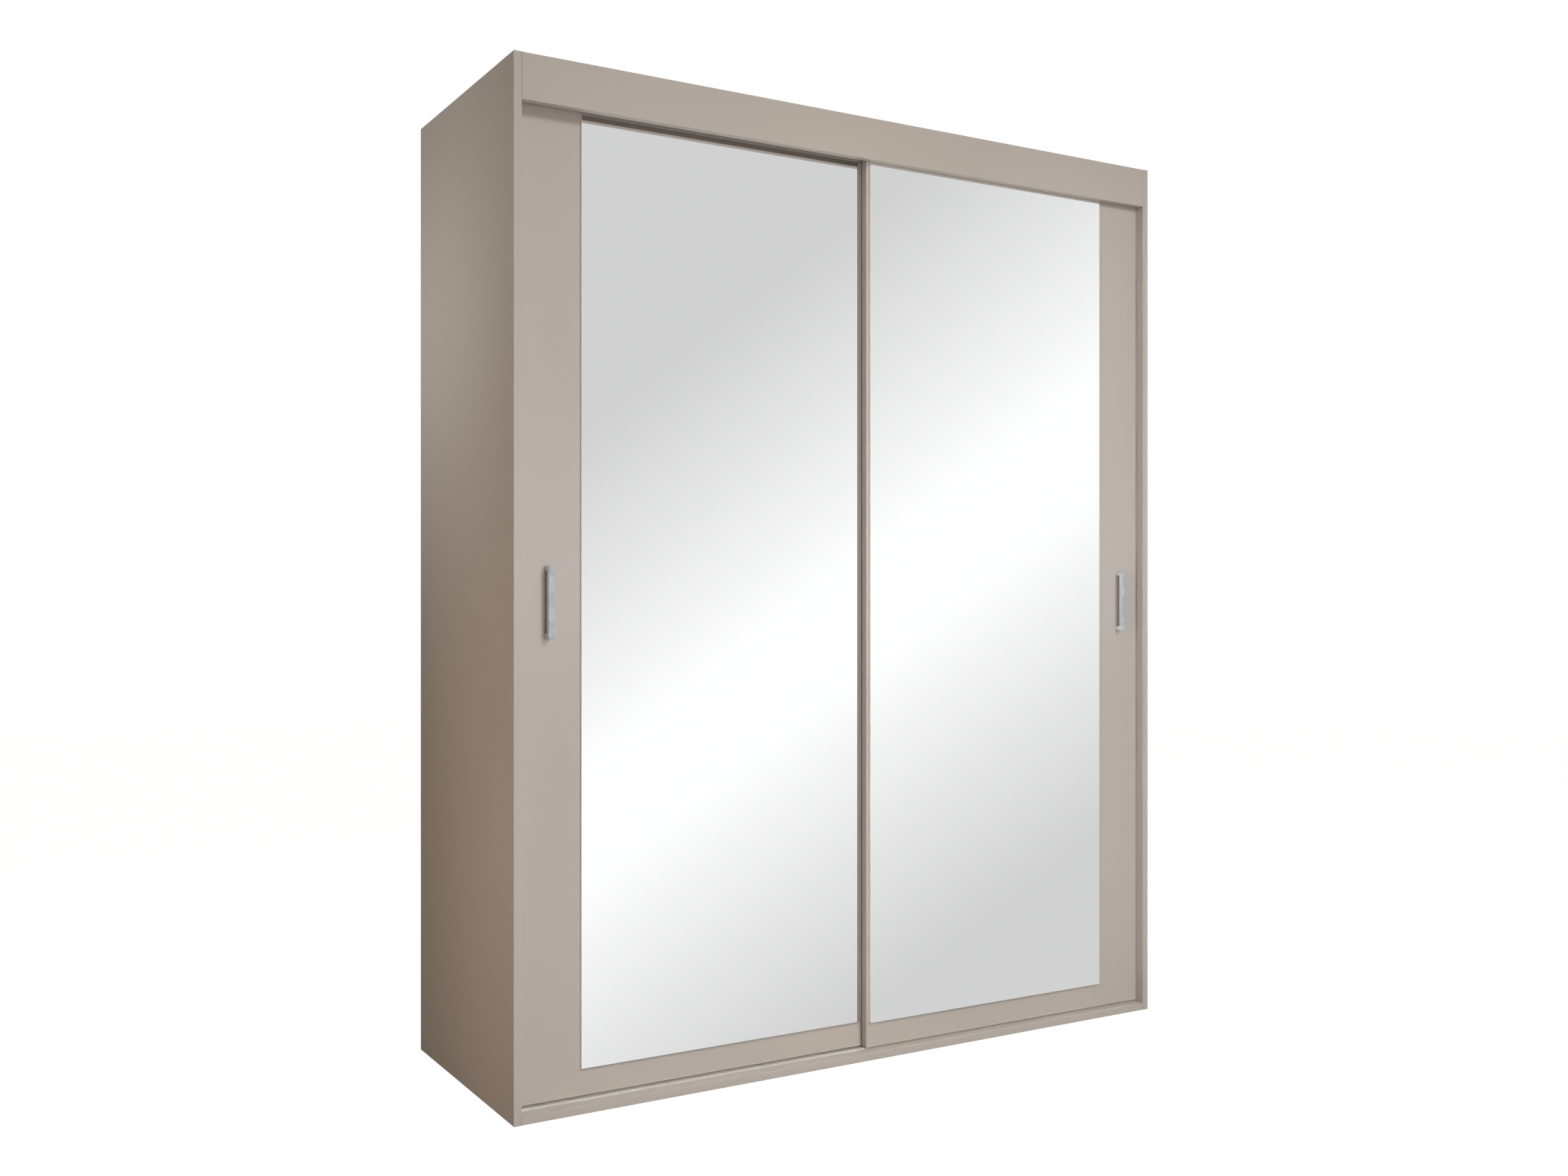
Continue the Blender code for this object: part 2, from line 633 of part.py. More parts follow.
def make_guide(name, door_frame, x, back, plane):
    """A sprung plunger in a housing let into the door's top edge, with a lug to press it down."""
    half = GUIDE_HOUSING_WIDTH / 2
    bottom = DOOR_TOP - GUIDE_HOUSING_HEIGHT
    front = back - FITTING_DEPTH
    housing = block(
        f"{name}_housing",
        (x - half + GAP, x + half - GAP),
        (front + GAP, back),
        (bottom + GAP, DOOR_TOP),
        "grey_plastic",
        door_frame,
        arris=0,
    )
    bore_bottom = DOOR_TOP - PLUNGER_BORE_DEPTH
    bore_length = PLUNGER_BORE_DEPTH + OVERRUN
    bore = cutter_rod(
        f"{name}_bore", (x, plane, bore_bottom + bore_length / 2), PLUNGER_BORE_RADIUS, bore_length, "Z", 16
    )
    plunger_top = DOOR_TOP + PLUNGER_REACH
    plunger_bottom = plunger_top - PLUNGER_LENGTH
    lug_bottom = plunger_bottom + THUMB_LUG_RISE
    lug_top = lug_bottom + THUMB_LUG_HEIGHT
    half_lug = THUMB_LUG_WIDTH / 2
    play = THUMB_LUG_PLAY
    slot = cutter_block(
        f"{name}_lug_slot",
        (x - half_lug - play, x + half_lug + play),
        (plane, back + OVERRUN),
        (lug_bottom - PLUNGER_TRAVEL - play, lug_top + play),
    )
    cut(housing, bore)
    cut(housing, slot)
    nose = PLUNGER_NOSE
    profile = [
        (0.0, PLUNGER_LENGTH), (PLUNGER_RADIUS - nose, PLUNGER_LENGTH),
        (PLUNGER_RADIUS, PLUNGER_LENGTH - nose), (PLUNGER_RADIUS, 0.0), (0.0, 0.0),
    ]
    plunger = turned(f"{name}_plunger", profile, False, "nylon", (x, plane, plunger_bottom), "Z", 16, door_frame)
    lug = cutter_block(
        f"{name}_lug",
        (x - half_lug, x + half_lug),
        (plane, back - THUMB_LUG_SETBACK),
        (lug_bottom, lug_top),
    )
    join(plunger, lug)
    make_spring(f"{name}_spring", door_frame, x, plane, bore_bottom + GAP, plunger_bottom - GAP)
    return cutter_block(
        f"{name}_mortise",
        (x - half, x + half),
        (front, back + OVERRUN),
        (bottom, DOOR_TOP + OVERRUN),
    )


def make_spring(name, door_frame, x, y, bottom, top):
    """A coil spring standing between two heights."""
    curve = bpy.data.curves.new(name, "CURVE")
    curve.dimensions = "3D"
    curve.bevel_depth = SPRING_WIRE_RADIUS
    curve.bevel_resolution = 1
    curve.use_fill_caps = True
    per_turn = 10
    count = SPRING_TURNS * per_turn + 1
    rise = top - bottom - 2 * SPRING_WIRE_RADIUS
    spline = curve.splines.new("POLY")
    spline.points.add(count - 1)
    for step, point in enumerate(spline.points):
        angle = 2 * math.pi * step / per_turn
        height = SPRING_WIRE_RADIUS + rise * step / (count - 1)
        point.co = (SPRING_RADIUS * math.cos(angle), SPRING_RADIUS * math.sin(angle), height, 1.0)
    add_object(name, curve, "steel", door_frame, (x, y, bottom))


def make_door(door, edges, mirror_x, handle_x):
    """A door board with its mirror, handle, two rollers and two top guides."""
    plane = door_planes()[door]
    face = plane - BOARD / 2
    back = plane + BOARD / 2
    frame = moving_frame(f"{door}_door_slide", (sum(edges) / 2, plane, DOOR_BOTTOM))
    board = block(f"{door}_door_board", edges, (face, back), (DOOR_BOTTOM, DOOR_TOP), "laminate", frame)
    block(
        f"{door}_door_mirror",
        mirror_x,
        (face - GAP - MIRROR_THICKNESS, face - GAP),
        (MIRROR_BOTTOM, MIRROR_TOP),
        "mirror",
        frame,
        arris=MIRROR_ARRIS,
    )
    cutters = make_handle(door, frame, handle_x, face)
    ends = {"left": edges[0] + FITTING_INSET, "right": edges[1] - FITTING_INSET}
    for side, x in ends.items():
        cutters.append(make_roller(f"{door}_door_roller_{side}", frame, x, back, plane))
        cutters.append(make_guide(f"{door}_door_guide_{side}", frame, x, back, plane))
    for cutter in cutters:
        cut(board, cutter)


def main():
    """Builds the wardrobe."""
    inner_left = LEFT + BOARD + DOOR_SIDE_GAP
    inner_right = RIGHT - BOARD - DOOR_SIDE_GAP
    edges = {
        "front": (inner_right - FRONT_DOOR_WIDTH, inner_right),
        "rear": (inner_left, inner_left + REAR_DOOR_WIDTH),
    }
    boards = make_carcass()
    make_shelves()
    make_shelf_pins(boards)
    make_hanging_rail()
    make_bottom_track()
    make_top_track()
    make_track_stops(edges)
    front_mirror = edges["front"][0] + FRONT_MIRROR_MARGIN
    rear_mirror = edges["rear"][1] - REAR_MIRROR_MARGIN
    make_door(
        "front",
        edges["front"],
        (front_mirror, front_mirror + MIRROR_WIDTH),
        edges["front"][1] - HANDLE_FROM_OUTER_EDGE,
    )
    make_door(
        "rear",
        edges["rear"],
        (rear_mirror - MIRROR_WIDTH, rear_mirror),
        edges["rear"][0] + REAR_HANDLE_FROM_OUTER_EDGE,
    )


main()
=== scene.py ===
"""Looks of the sliding-door wardrobe: banded boards, mirrors, fittings, and the studio round them."""

import math

import bmesh
import bpy
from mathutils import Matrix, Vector


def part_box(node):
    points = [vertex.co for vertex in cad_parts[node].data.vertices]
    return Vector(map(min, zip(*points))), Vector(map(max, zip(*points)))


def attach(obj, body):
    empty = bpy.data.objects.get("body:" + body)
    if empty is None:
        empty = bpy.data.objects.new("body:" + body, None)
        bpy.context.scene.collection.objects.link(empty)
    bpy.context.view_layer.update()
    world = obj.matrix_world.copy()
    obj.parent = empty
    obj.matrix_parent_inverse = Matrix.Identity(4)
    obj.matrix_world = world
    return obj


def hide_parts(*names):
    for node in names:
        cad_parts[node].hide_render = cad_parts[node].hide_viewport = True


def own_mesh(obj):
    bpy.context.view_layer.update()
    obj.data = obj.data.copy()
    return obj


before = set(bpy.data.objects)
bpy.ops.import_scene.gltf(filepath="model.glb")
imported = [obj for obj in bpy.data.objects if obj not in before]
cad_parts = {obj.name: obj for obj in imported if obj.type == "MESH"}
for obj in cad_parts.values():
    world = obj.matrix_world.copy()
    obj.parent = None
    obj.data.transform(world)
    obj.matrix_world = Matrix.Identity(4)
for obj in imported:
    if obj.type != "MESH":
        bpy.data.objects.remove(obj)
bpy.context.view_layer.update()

MM = 0.001
CLEAR = 0.3 * MM                # gap round a fitting in its mortise
PAST = 2 * MM                   # how far a cutter runs past the face it opens
TINY = 1e-6
SHARP = math.radians(35)        # edges sharper than this stay sharp when shaded smooth
AXES = {"X": 0, "Y": 1, "Z": 2}

# Boards
BAND = 0.8 * MM                 # thickness of the edge banding
GLUE_LINE = 0.06 * MM           # seam between a board's core and its banding
BAND_ROUND = 0.6 * MM
BAND_FADE = 1.2 * MM            # how far the rubbed tone runs in from a banding's arris
CORE_ROUND = 0.12 * MM
ARRIS_REACH = 4 * MM            # how far wear creeps in from an edge
ARRIS_WIDTH = 0.3 * MM          # vertices this near an edge count as its arris
PIN_HOLE_RADIUS = 2.8 * MM
PIN_HOLE_LENGTH = 12 * MM
PIN_HOLE_INSET = 5 * MM         # board face to the middle of the cutter
PIN_HOLE_PITCH = 32 * MM

# Back
STRIP_FLANGE = 0.8 * MM
STRIP_HALF_WEB = 0.5 * MM
NAIL_INSET = 7 * MM
NAIL_PITCH = 0.14
SHELF_NAIL_PITCH = 0.15

# Tracks
TRACK_PLATE = 1.5 * MM
HALF_RIB = 1.0 * MM
HALF_CHANNEL = 4 * MM
CHANNEL_WALL = 1.3 * MM
TRACK_ROUND = 0.3 * MM
TRACK_SCREW_INSET = 0.05
TRACK_SCREW_PITCH = 0.5
SCREW_PROUD = 0.15 * MM
STOP_SLOT_HALF = 1.2 * MM
STOP_SLOT_DEPTH = 3 * MM

# Interior fittings
RAIL_WALL = 1.2 * MM
SOCKET_BACK = 3 * MM
SOCKET_REACH = 14 * MM
SOCKET_PLAY = 0.4 * MM
COVER_INSET_X = 34 * MM
COVER_INSET_Y = 60 * MM
COVERS_FROM = -0.20             # the frontmost a board counts as reaching for its covers

# Doors
MIRROR_ARRIS = 0.5 * MM
HANDLE_LEG = 9.5 * MM
HANDLE_BAR = 10 * MM
HANDLE_ROUND = 0.9 * MM
SCREW_HOLE_RADIUS = 2.1 * MM
SCREW_HOLE_LENGTH = 20 * MM
COUNTERBORE_RADIUS = 4.5 * MM
COUNTERBORE_DEPTH = 3.5 * MM
HALF_POCKET_X = 13.8 * MM
HALF_POCKET_Y = 3.1 * MM
WHEEL_HEADROOM = 0.8 * MM
AXLE_BORE_RADIUS = 2.3 * MM
AXLE_BORE_LENGTH = 20 * MM
AXLE_RADIUS = 2 * MM
HALF_AXLE = 6.05 * MM
ROLLER_SCREW_OFFSET = 19.5 * MM
GUIDE_SCREW_OFFSET = 10 * MM
PLUNGER_RADIUS = 3.5 * MM
PLUNGER_BORE_RADIUS = 3.8 * MM
PLUNGER_BORE_DEPTH = 36 * MM
LUG_RISE = 3 * MM               # plunger's foot to the lug's underside
LUG_HEIGHT = 4 * MM
HALF_LUG = 2 * MM
LUG_PLAY = 0.5 * MM
PLUNGER_TRAVEL = 10 * MM
SPRING_RADIUS = 2.8 * MM
SPRING_WIRE = 0.35 * MM
SPRING_TURNS = 7
STEPS_A_TURN = 20


# ---------------------------------------------------------------- modelling by hand

def make_active(piece):
    """Selects one piece alone."""
    if bpy.context.mode != "OBJECT":
        bpy.ops.object.mode_set(mode="OBJECT")
    bpy.ops.object.select_all(action="DESELECT")
    piece.select_set(True)
    bpy.context.view_layer.objects.active = piece


def pick(piece, kind, test):
    """Opens a piece in edit mode with only the faces, edges or vertices that pass a test selected."""
    make_active(piece)
    bpy.ops.object.mode_set(mode="EDIT")
    bpy.ops.mesh.select_mode(type=kind)
    bpy.ops.mesh.select_all(action="DESELECT")
    shape = bmesh.from_edit_mesh(piece.data)
    items = {"VERT": shape.verts, "EDGE": shape.edges, "FACE": shape.faces}[kind]
    for item in items:
        if test(item):
            item.select_set(True)
    shape.select_flush_mode()
    bmesh.update_edit_mesh(piece.data)


def close_edit():
    """Back to object mode."""
    bpy.ops.object.mode_set(mode="OBJECT")


def middle_of(item):
    """Middle of an edge or a face."""
    return sum((vert.co for vert in item.verts), Vector()) / len(item.verts)


def run_of(edge, axis):
    """How far an edge runs along an axis."""
    index = AXES[axis]
    return abs(edge.verts[0].co[index] - edge.verts[1].co[index])


def corners(node):
    """Low and high corner of a CAD node's box."""
    low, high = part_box(node)
    return Vector(low), Vector(high)


def add_block(name, low, high):
    """A block between two corners, with its place in its mesh."""
    bpy.ops.object.select_all(action="DESELECT")
    low, high = Vector(low), Vector(high)
    bpy.ops.mesh.primitive_cube_add(size=1.0, location=(low + high) / 2)
    piece = bpy.context.object
    piece.name = name
    piece.scale = high - low
    bpy.ops.object.transform_apply(location=True, rotation=True, scale=True)
    return piece


def turn_to_axis(piece, axis, centre):
    """Lays a piece that was modelled round Z along X, -X, Y or -Y, then moves it to its place."""
    quarter = math.pi / 2
    turns = {
        "X": (0, quarter, 0), "-X": (0, -quarter, 0), "Y": (-quarter, 0, 0),
        "Z": (0, 0, 0), "-Z": (math.pi, 0, 0),
    }
    make_active(piece)
    piece.rotation_euler = turns[axis]
    piece.location = centre
    bpy.ops.object.transform_apply(location=True, rotation=True, scale=True)


def add_rod(name, centre, radius, length, axis, sides=32):
    """A round bar centred on a point."""
    bpy.ops.object.select_all(action="DESELECT")
    bpy.ops.mesh.primitive_cylinder_add(vertices=sides, radius=radius, depth=length)
    piece = bpy.context.object
    piece.name = name
    turn_to_axis(piece, axis, centre)
    return piece


def add_turned(name, stations, centre, axis, sides=32, ring=False):
    """A turned piece, drawn out of a circle station by station. A station is (radius, height).

    A ring starts and ends on its bore, and its last loop is bridged to its first.
    """
    bpy.ops.object.select_all(action="DESELECT")
    radius, height = stations[0]
    bpy.ops.mesh.primitive_circle_add(
        vertices=sides, radius=radius, location=(0, 0, height), fill_type="NOTHING" if ring else "NGON"
    )
    piece = bpy.context.object
    piece.name = name
    bpy.ops.object.transform_apply(location=True, rotation=True, scale=True)
    bpy.ops.object.mode_set(mode="EDIT")
    bpy.ops.mesh.select_mode(type="EDGE")
    bpy.ops.mesh.select_all(action="SELECT")
    for next_radius, next_height in stations[1:]:
        bpy.ops.mesh.extrude_edges_move(
            TRANSFORM_OT_translate={"value": (0, 0, next_height - height)}
        )
        grow = next_radius / radius
        bpy.ops.transform.resize(value=(grow, grow, 1), center_override=(0, 0, next_height))
        radius, height = next_radius, next_height
    if ring:
        bpy.ops.mesh.select_all(action="DESELECT")
        shape = bmesh.from_edit_mesh(piece.data)
        for edge in shape.edges:
            if edge.is_boundary:
                edge.select_set(True)
        bmesh.update_edit_mesh(piece.data)
        bpy.ops.mesh.bridge_edge_loops()
    else:
        bpy.ops.mesh.edge_face_add()
    bpy.ops.mesh.select_all(action="SELECT")
    bpy.ops.mesh.normals_make_consistent(inside=False)
    close_edit()
    turn_to_axis(piece, axis, centre)
    return piece


def apply_modifier(piece, kind, **settings):
    """Adds a modifier to a piece and applies it."""
    make_active(piece)
    modifier = piece.modifiers.new(kind.lower(), kind)
    for name, value in settings.items():
        setattr(modifier, name, value)
    bpy.ops.object.modifier_apply(modifier=modifier.name)


def boxes_meet(first, second):
    """Whether two pieces' bounding boxes overlap."""
    for axis in range(3):
        one = [corner[axis] for corner in first.bound_box]
        other = [corner[axis] for corner in second.bound_box]
        if max(one) < min(other) or max(other) < min(one):
            return False
    return True


def cut(piece, tools, keep_tools=False):
    """Takes the shapes of the tools that reach a piece out of it."""
    for tool in tools:
        if boxes_meet(piece, tool):
            apply_modifier(piece, "BOOLEAN", operation="DIFFERENCE", object=tool, solver="EXACT")
    if not keep_tools:
        for tool in tools:
            bpy.data.objects.remove(tool, do_unlink=True)


def round_edges(piece, width, segments=3, test=None):
    """Rounds the sharp edges that pass a test, in edit mode."""
    def sharp(edge):
        return len(edge.link_faces) == 2 and edge.calc_face_angle(0) > SHARP

    pick(piece, "EDGE", lambda edge: sharp(edge) and (test is None or test(edge)))
    bpy.ops.mesh.bevel(offset=width, segments=segments, profile=0.5, affect="EDGES")
    close_edit()


def soften(piece, width, segments=2):
    """Rounds the edges of a piece that has been cut, where they are sharp."""
    apply_modifier(
        piece, "BEVEL", width=width, segments=segments, limit_method="ANGLE",
        angle_limit=SHARP, use_clamp_overlap=True, loop_slide=True,
    )


def inset_faces(piece, width, test):
    """Draws a loop inside each face that passes a test."""
    pick(piece, "FACE", test)
    bpy.ops.mesh.inset(thickness=width, use_individual=True, use_even_offset=True)
    close_edit()


def score(piece, axis, places):
    """Cuts a piece into bands with planes across an axis."""
    normal = [0, 0, 0]
    normal[AXES[axis]] = 1
    for place in places:
        pick(piece, "FACE", lambda face: True)
        bpy.ops.mesh.bisect(plane_co=[place * n for n in normal], plane_no=normal)
        close_edit()


def extrude_faces(piece, test, shift):
    """Pulls the faces that pass a test along a vector."""
    pick(piece, "FACE", test)
    bpy.ops.mesh.extrude_region_move(TRANSFORM_OT_translate={"value": shift})
    close_edit()


def weld(pieces, name):
    """Joins several pieces into one object."""
    make_active(pieces[0])
    for other in pieces[1:]:
        other.select_set(True)
    if len(pieces) > 1:
        bpy.ops.object.join()
    joined = bpy.context.object
    joined.name = name
    return joined


def copy_of(piece, name, shift=(0, 0, 0)):
    """A copy with its own mesh, moved by a vector."""
    made = piece.copy()
    made.data = piece.data.copy()
    made.name = name
    bpy.context.scene.collection.objects.link(made)
    make_active(made)
    made.location = shift
    bpy.ops.object.transform_apply(location=True, rotation=False, scale=False)
    return made


def smooth(piece, angle=SHARP):
    """Shades a piece smooth up to an angle."""
    make_active(piece)
    bpy.ops.object.shade_smooth_by_angle(angle=angle)


def mark_arris(piece, width):
    """Gives each vertex near an outer edge of a block-like piece an arris value of 1, and the others 0."""
    corners = [Vector(corner) for corner in piece.bound_box]
    low = Vector(map(min, *corners))
    high = Vector(map(max, *corners))
    values = []
    for vert in piece.data.vertices:
        near = [
            min(abs(vert.co[axis] - low[axis]), abs(vert.co[axis] - high[axis])) < width for axis in range(3)
        ]
        values.append(1.0 if sum(near) >= 2 else 0.0)
    attribute = piece.data.attributes.new("arris", "FLOAT", "POINT")
    attribute.data.foreach_set("value", values)


def paint(piece, materials, choose=None):
    """Gives a piece its materials. choose(face) picks one by number."""
    piece.data.materials.clear()
    for material in materials:
        piece.data.materials.append(material)
    if choose:
        for face in piece.data.polygons:
            face.material_index = choose(face)


def place(piece, body, slot, *nodes):
    """Makes a finished piece ride on its body and hides the CAD nodes it stands for; the slot is not used."""
    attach(piece, body)
    if nodes:
        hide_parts(*nodes)


def finish(piece, material, body, slot, *nodes):
    """Shades a piece smooth, paints it all over and places it."""
    smooth(piece)
    paint(piece, [material])
    place(piece, body, slot, *nodes)


# ---------------------------------------------------------------- shader building

class Wiring:
    """Adds and joins the nodes of one tree."""

    def __init__(self, tree):
        self.tree = tree

    def add(self, kind, inputs=None, **settings):
        """A node with its settings and inputs, which are numbers or other nodes' outputs."""
        node = self.tree.nodes.new(kind)
        for name, value in settings.items():
            setattr(node, name, value)
        for name, value in (inputs or {}).items():
            self.give(node.inputs[name], value)
        return node

    def give(self, socket, value):
        """Links an output to a socket, or sets the socket to a value."""
        if isinstance(value, bpy.types.NodeSocket):
            self.tree.links.new(value, socket)
        else:
            socket.default_value = value

    def maths(self, operation, first, second=0.0, clamp=False):
        """One sum."""
        inputs = {0: first, 1: second}
        return self.add("ShaderNodeMath", inputs, operation=operation, use_clamp=clamp).outputs[0]

    def noise(self, vector, scale, detail=3.0, roughness=0.5):
        """A noise value."""
        inputs = {"Vector": vector, "Scale": scale, "Detail": detail, "Roughness": roughness}
        return self.add("ShaderNodeTexNoise", inputs).outputs["Fac"]

    def stretch(self, vector, scale):
        """Coordinates scaled along each axis."""
        return self.add("ShaderNodeMapping", {"Vector": vector, "Scale": scale}).outputs["Vector"]

    def spread(self, value, low, high, out_low=0.0, out_high=1.0):
        """A value taken from one range to another."""
        inputs = {"Value": value, "From Min": low, "From Max": high, "To Min": out_low, "To Max": out_high}
        return self.add("ShaderNodeMapRange", inputs, clamp=True).outputs["Result"]

    def blend(self, factor, first, second, mode="MIX"):
        """Two colours mixed."""
        node = self.add("ShaderNodeMix", data_type="RGBA", blend_type=mode)
        for index, value in ((0, factor), (6, first), (7, second)):    # the colour sockets of a Mix
            self.give(node.inputs[index], value)
        return node.outputs[2]


def bare_wiring(owner):
    """The wiring of a material or a world, with its node tree emptied."""
    owner.use_nodes = True
    owner.node_tree.nodes.clear()
    return Wiring(owner.node_tree)


SOCKETS = {"float": "NodeSocketFloat", "colour": "NodeSocketColor", "vector": "NodeSocketVector"}


def new_effect(name, inputs, outputs):
    """An empty node group with named inputs and outputs, ready to be wired."""
    tree = bpy.data.node_groups.new(name, "ShaderNodeTree")
    for label, kind in inputs.items():
        tree.interface.new_socket(name=label, in_out="INPUT", socket_type=SOCKETS[kind])
    for label, kind in outputs.items():
        tree.interface.new_socket(name=label, in_out="OUTPUT", socket_type=SOCKETS[kind])
    wiring = Wiring(tree)
    entry = wiring.add("NodeGroupInput")
    leave = wiring.add("NodeGroupOutput")
    return tree, wiring, entry.outputs, leave.inputs


def cloudy_tone_effect():
    """A colour that drifts a little lighter and darker over the surface."""
    tree, w, given, result = new_effect(
        "cloudy_tone", {"Place": "vector", "Colour": "colour", "Scale": "float", "Amount": "float"},
        {"Colour": "colour"},
    )
    broad = w.noise(given["Place"], given["Scale"], 2.0)
    close = w.noise(given["Place"], w.maths("MULTIPLY", given["Scale"], 9.0), 3.0)
    both = w.maths("ADD", w.maths("MULTIPLY", broad, 0.7), w.maths("MULTIPLY", close, 0.3))
    centred = w.maths("MULTIPLY", w.maths("SUBTRACT", both, 0.5), given["Amount"])
    lift = w.maths("ADD", 1.0, centred)
    lifted = w.add("ShaderNodeVectorMath", {0: given["Colour"], "Scale": lift}, operation="SCALE")
    tree.links.new(lifted.outputs[0], result["Colour"])
    return tree


def fine_pores_effect():
    """The pressed pearl texture of a laminate: shallow cells with a finer grain in them."""
    tree, w, given, result = new_effect(
        "fine_pores", {"Place": "vector", "Scale": "float"}, {"Height": "float", "Mask": "float"}
    )
    inputs = {"Vector": given["Place"], "Scale": given["Scale"], "Randomness": 1.0}
    cells = w.add("ShaderNodeTexVoronoi", inputs)
    pits = w.spread(cells.outputs["Distance"], 0.05, 0.55)
    grain = w.noise(given["Place"], w.maths("MULTIPLY", given["Scale"], 2.6), 2.0)
    height = w.maths("ADD", w.maths("MULTIPLY", pits, 0.6), w.maths("MULTIPLY", grain, 0.4))
    tree.links.new(height, result["Height"])
    tree.links.new(w.spread(grain, 0.58, 0.75), result["Mask"])
    return tree


def edge_wear_effect():
    """Where the edges have rubbed: the arris attribute broken up by noise."""
    tree, w, given, result = new_effect("edge_wear", {"Place": "vector", "Amount": "float"}, {"Mask": "float"})
    arris = w.add("ShaderNodeAttribute", attribute_name="arris").outputs["Fac"]
    patches = w.spread(w.noise(given["Place"], 38.0, 5.0, 0.65), 0.46, 0.66)
    near = w.maths("POWER", arris, 2.0)
    rubbed = w.maths("MULTIPLY", w.maths("MULTIPLY", near, patches), given["Amount"], clamp=True)
    tree.links.new(rubbed, result["Mask"])
    return tree


def handling_marks_effect():
    """Faint smears and specks of dust, as roughness."""
    tree, w, given, result = new_effect(
        "handling_marks", {"Place": "vector", "Base": "float", "Amount": "float"}, {"Roughness": "float"}
    )
    smears = w.noise(w.stretch(given["Place"], (3.0, 3.0, 1.1)), 2.3, 5.0, 0.6)
    specks = w.spread(w.noise(given["Place"], 420.0, 1.0), 0.70, 0.78)
    lifted = w.maths("ADD", w.maths("SUBTRACT", smears, 0.5), w.maths("MULTIPLY", specks, 0.35))
    rough = w.maths("ADD", given["Base"], w.maths("MULTIPLY", lifted, given["Amount"]), clamp=True)
    tree.links.new(rough, result["Roughness"])
    return tree


def brushed_effect():
    """Fine parallel lines: coordinates are stretched along the brushing before they come in."""
    tree, w, given, result = new_effect("brushed", {"Place": "vector"}, {"Height": "float", "Tone": "float"})
    lines = w.noise(given["Place"], 900.0, 3.0, 0.6)
    broad = w.noise(given["Place"], 160.0, 2.0)
    tree.links.new(lines, result["Height"])
    tone = w.maths("ADD", w.maths("MULTIPLY", lines, 0.75), w.maths("MULTIPLY", broad, 0.25))
    tree.links.new(tone, result["Tone"])
    return tree


EFFECTS = {
    "cloudy_tone": cloudy_tone_effect(),
    "fine_pores": fine_pores_effect(),
    "edge_wear": edge_wear_effect(),
    "handling_marks": handling_marks_effect(),
    "brushed": brushed_effect(),
}


class Finish(Wiring):
    """A material being wired: its Principled shader, its Object coordinates and the shared effects."""

    def __init__(self, name, **constants):
        self.material = bpy.data.materials.new(name)
        self.material.use_nodes = True
        super().__init__(self.material.node_tree)
        self.shader = self.tree.nodes["Principled BSDF"]
        for label, value in constants.items():
            self.shader.inputs[label.replace("_", " ")].default_value = value
        self.place = self.add("ShaderNodeTexCoord").outputs["Object"]

    def effect(self, name, **inputs):
        """Places one of the shared effects."""
        node = self.add("ShaderNodeGroup", node_tree=EFFECTS[name])
        for label, value in inputs.items():
            self.give(node.inputs[label], value)
        return node.outputs

    def feed(self, **inputs):
        """Joins outputs to the shader."""
        for label, value in inputs.items():
            self.tree.links.new(value, self.shader.inputs[label.replace("_", " ")])

    def relief(self, height, strength, depth):
        """Bumps the surface by a height."""
        bump = self.add("ShaderNodeBump", {"Height": height, "Strength": strength, "Distance": depth})
        self.tree.links.new(bump.outputs["Normal"], self.shader.inputs["Normal"])


WARM_GREY = (0.460, 0.400, 0.350, 1.0)
EDGING_GREY = (0.462, 0.402, 0.352, 1.0)
RUBBED_GREY = (0.56, 0.50, 0.45, 1.0)


def melamine(name, colour, roughness, wear):
    """Pressed laminate face: even warm grey with a pearl texture, smears and rubbed edges."""
    f = Finish(name, IOR=1.48)
    tone = f.effect("cloudy_tone", Place=f.place, Colour=colour, Scale=1.6, Amount=0.05)["Colour"]
    pores = f.effect("fine_pores", Place=f.place, Scale=1500.0)
    rubbed = f.effect("edge_wear", Place=f.place, Amount=wear)["Mask"]
    speckled = f.blend(f.maths("MULTIPLY", pores["Mask"], 0.08), tone, (0.62, 0.58, 0.54, 1.0))
    rough = f.effect("handling_marks", Place=f.place, Base=roughness, Amount=0.10)["Roughness"]
    f.feed(
        Base_Color=f.blend(rubbed, speckled, RUBBED_GREY),
        Roughness=f.maths("ADD", rough, f.maths("MULTIPLY", rubbed, 0.12), clamp=True),
    )
    f.relief(pores["Height"], 0.12, 0.00008)
    return f.material


def chipboard():
    """Raw edge of a board: flattened chips of wood in a darker glue."""
    f = Finish("raw_chipboard", IOR=1.45)
    chips = f.add("ShaderNodeTexVoronoi", {"Vector": f.place, "Scale": 420.0, "Randomness": 1.0})
    tint = f.add("ShaderNodeSeparateColor", {"Color": chips.outputs["Color"]}).outputs[0]
    wood = f.blend(tint, (0.30, 0.185, 0.095, 1.0), (0.62, 0.45, 0.28, 1.0))
    gaps = f.spread(chips.outputs["Distance"], 0.0, 0.6)
    f.feed(Base_Color=f.blend(f.maths("MULTIPLY", gaps, 0.5), wood, (0.12, 0.07, 0.035, 1.0)))
    f.feed(Roughness=f.spread(tint, 0.0, 1.0, 0.75, 0.95))
    f.relief(chips.outputs["Distance"], 0.6, 0.0004)
    return f.material


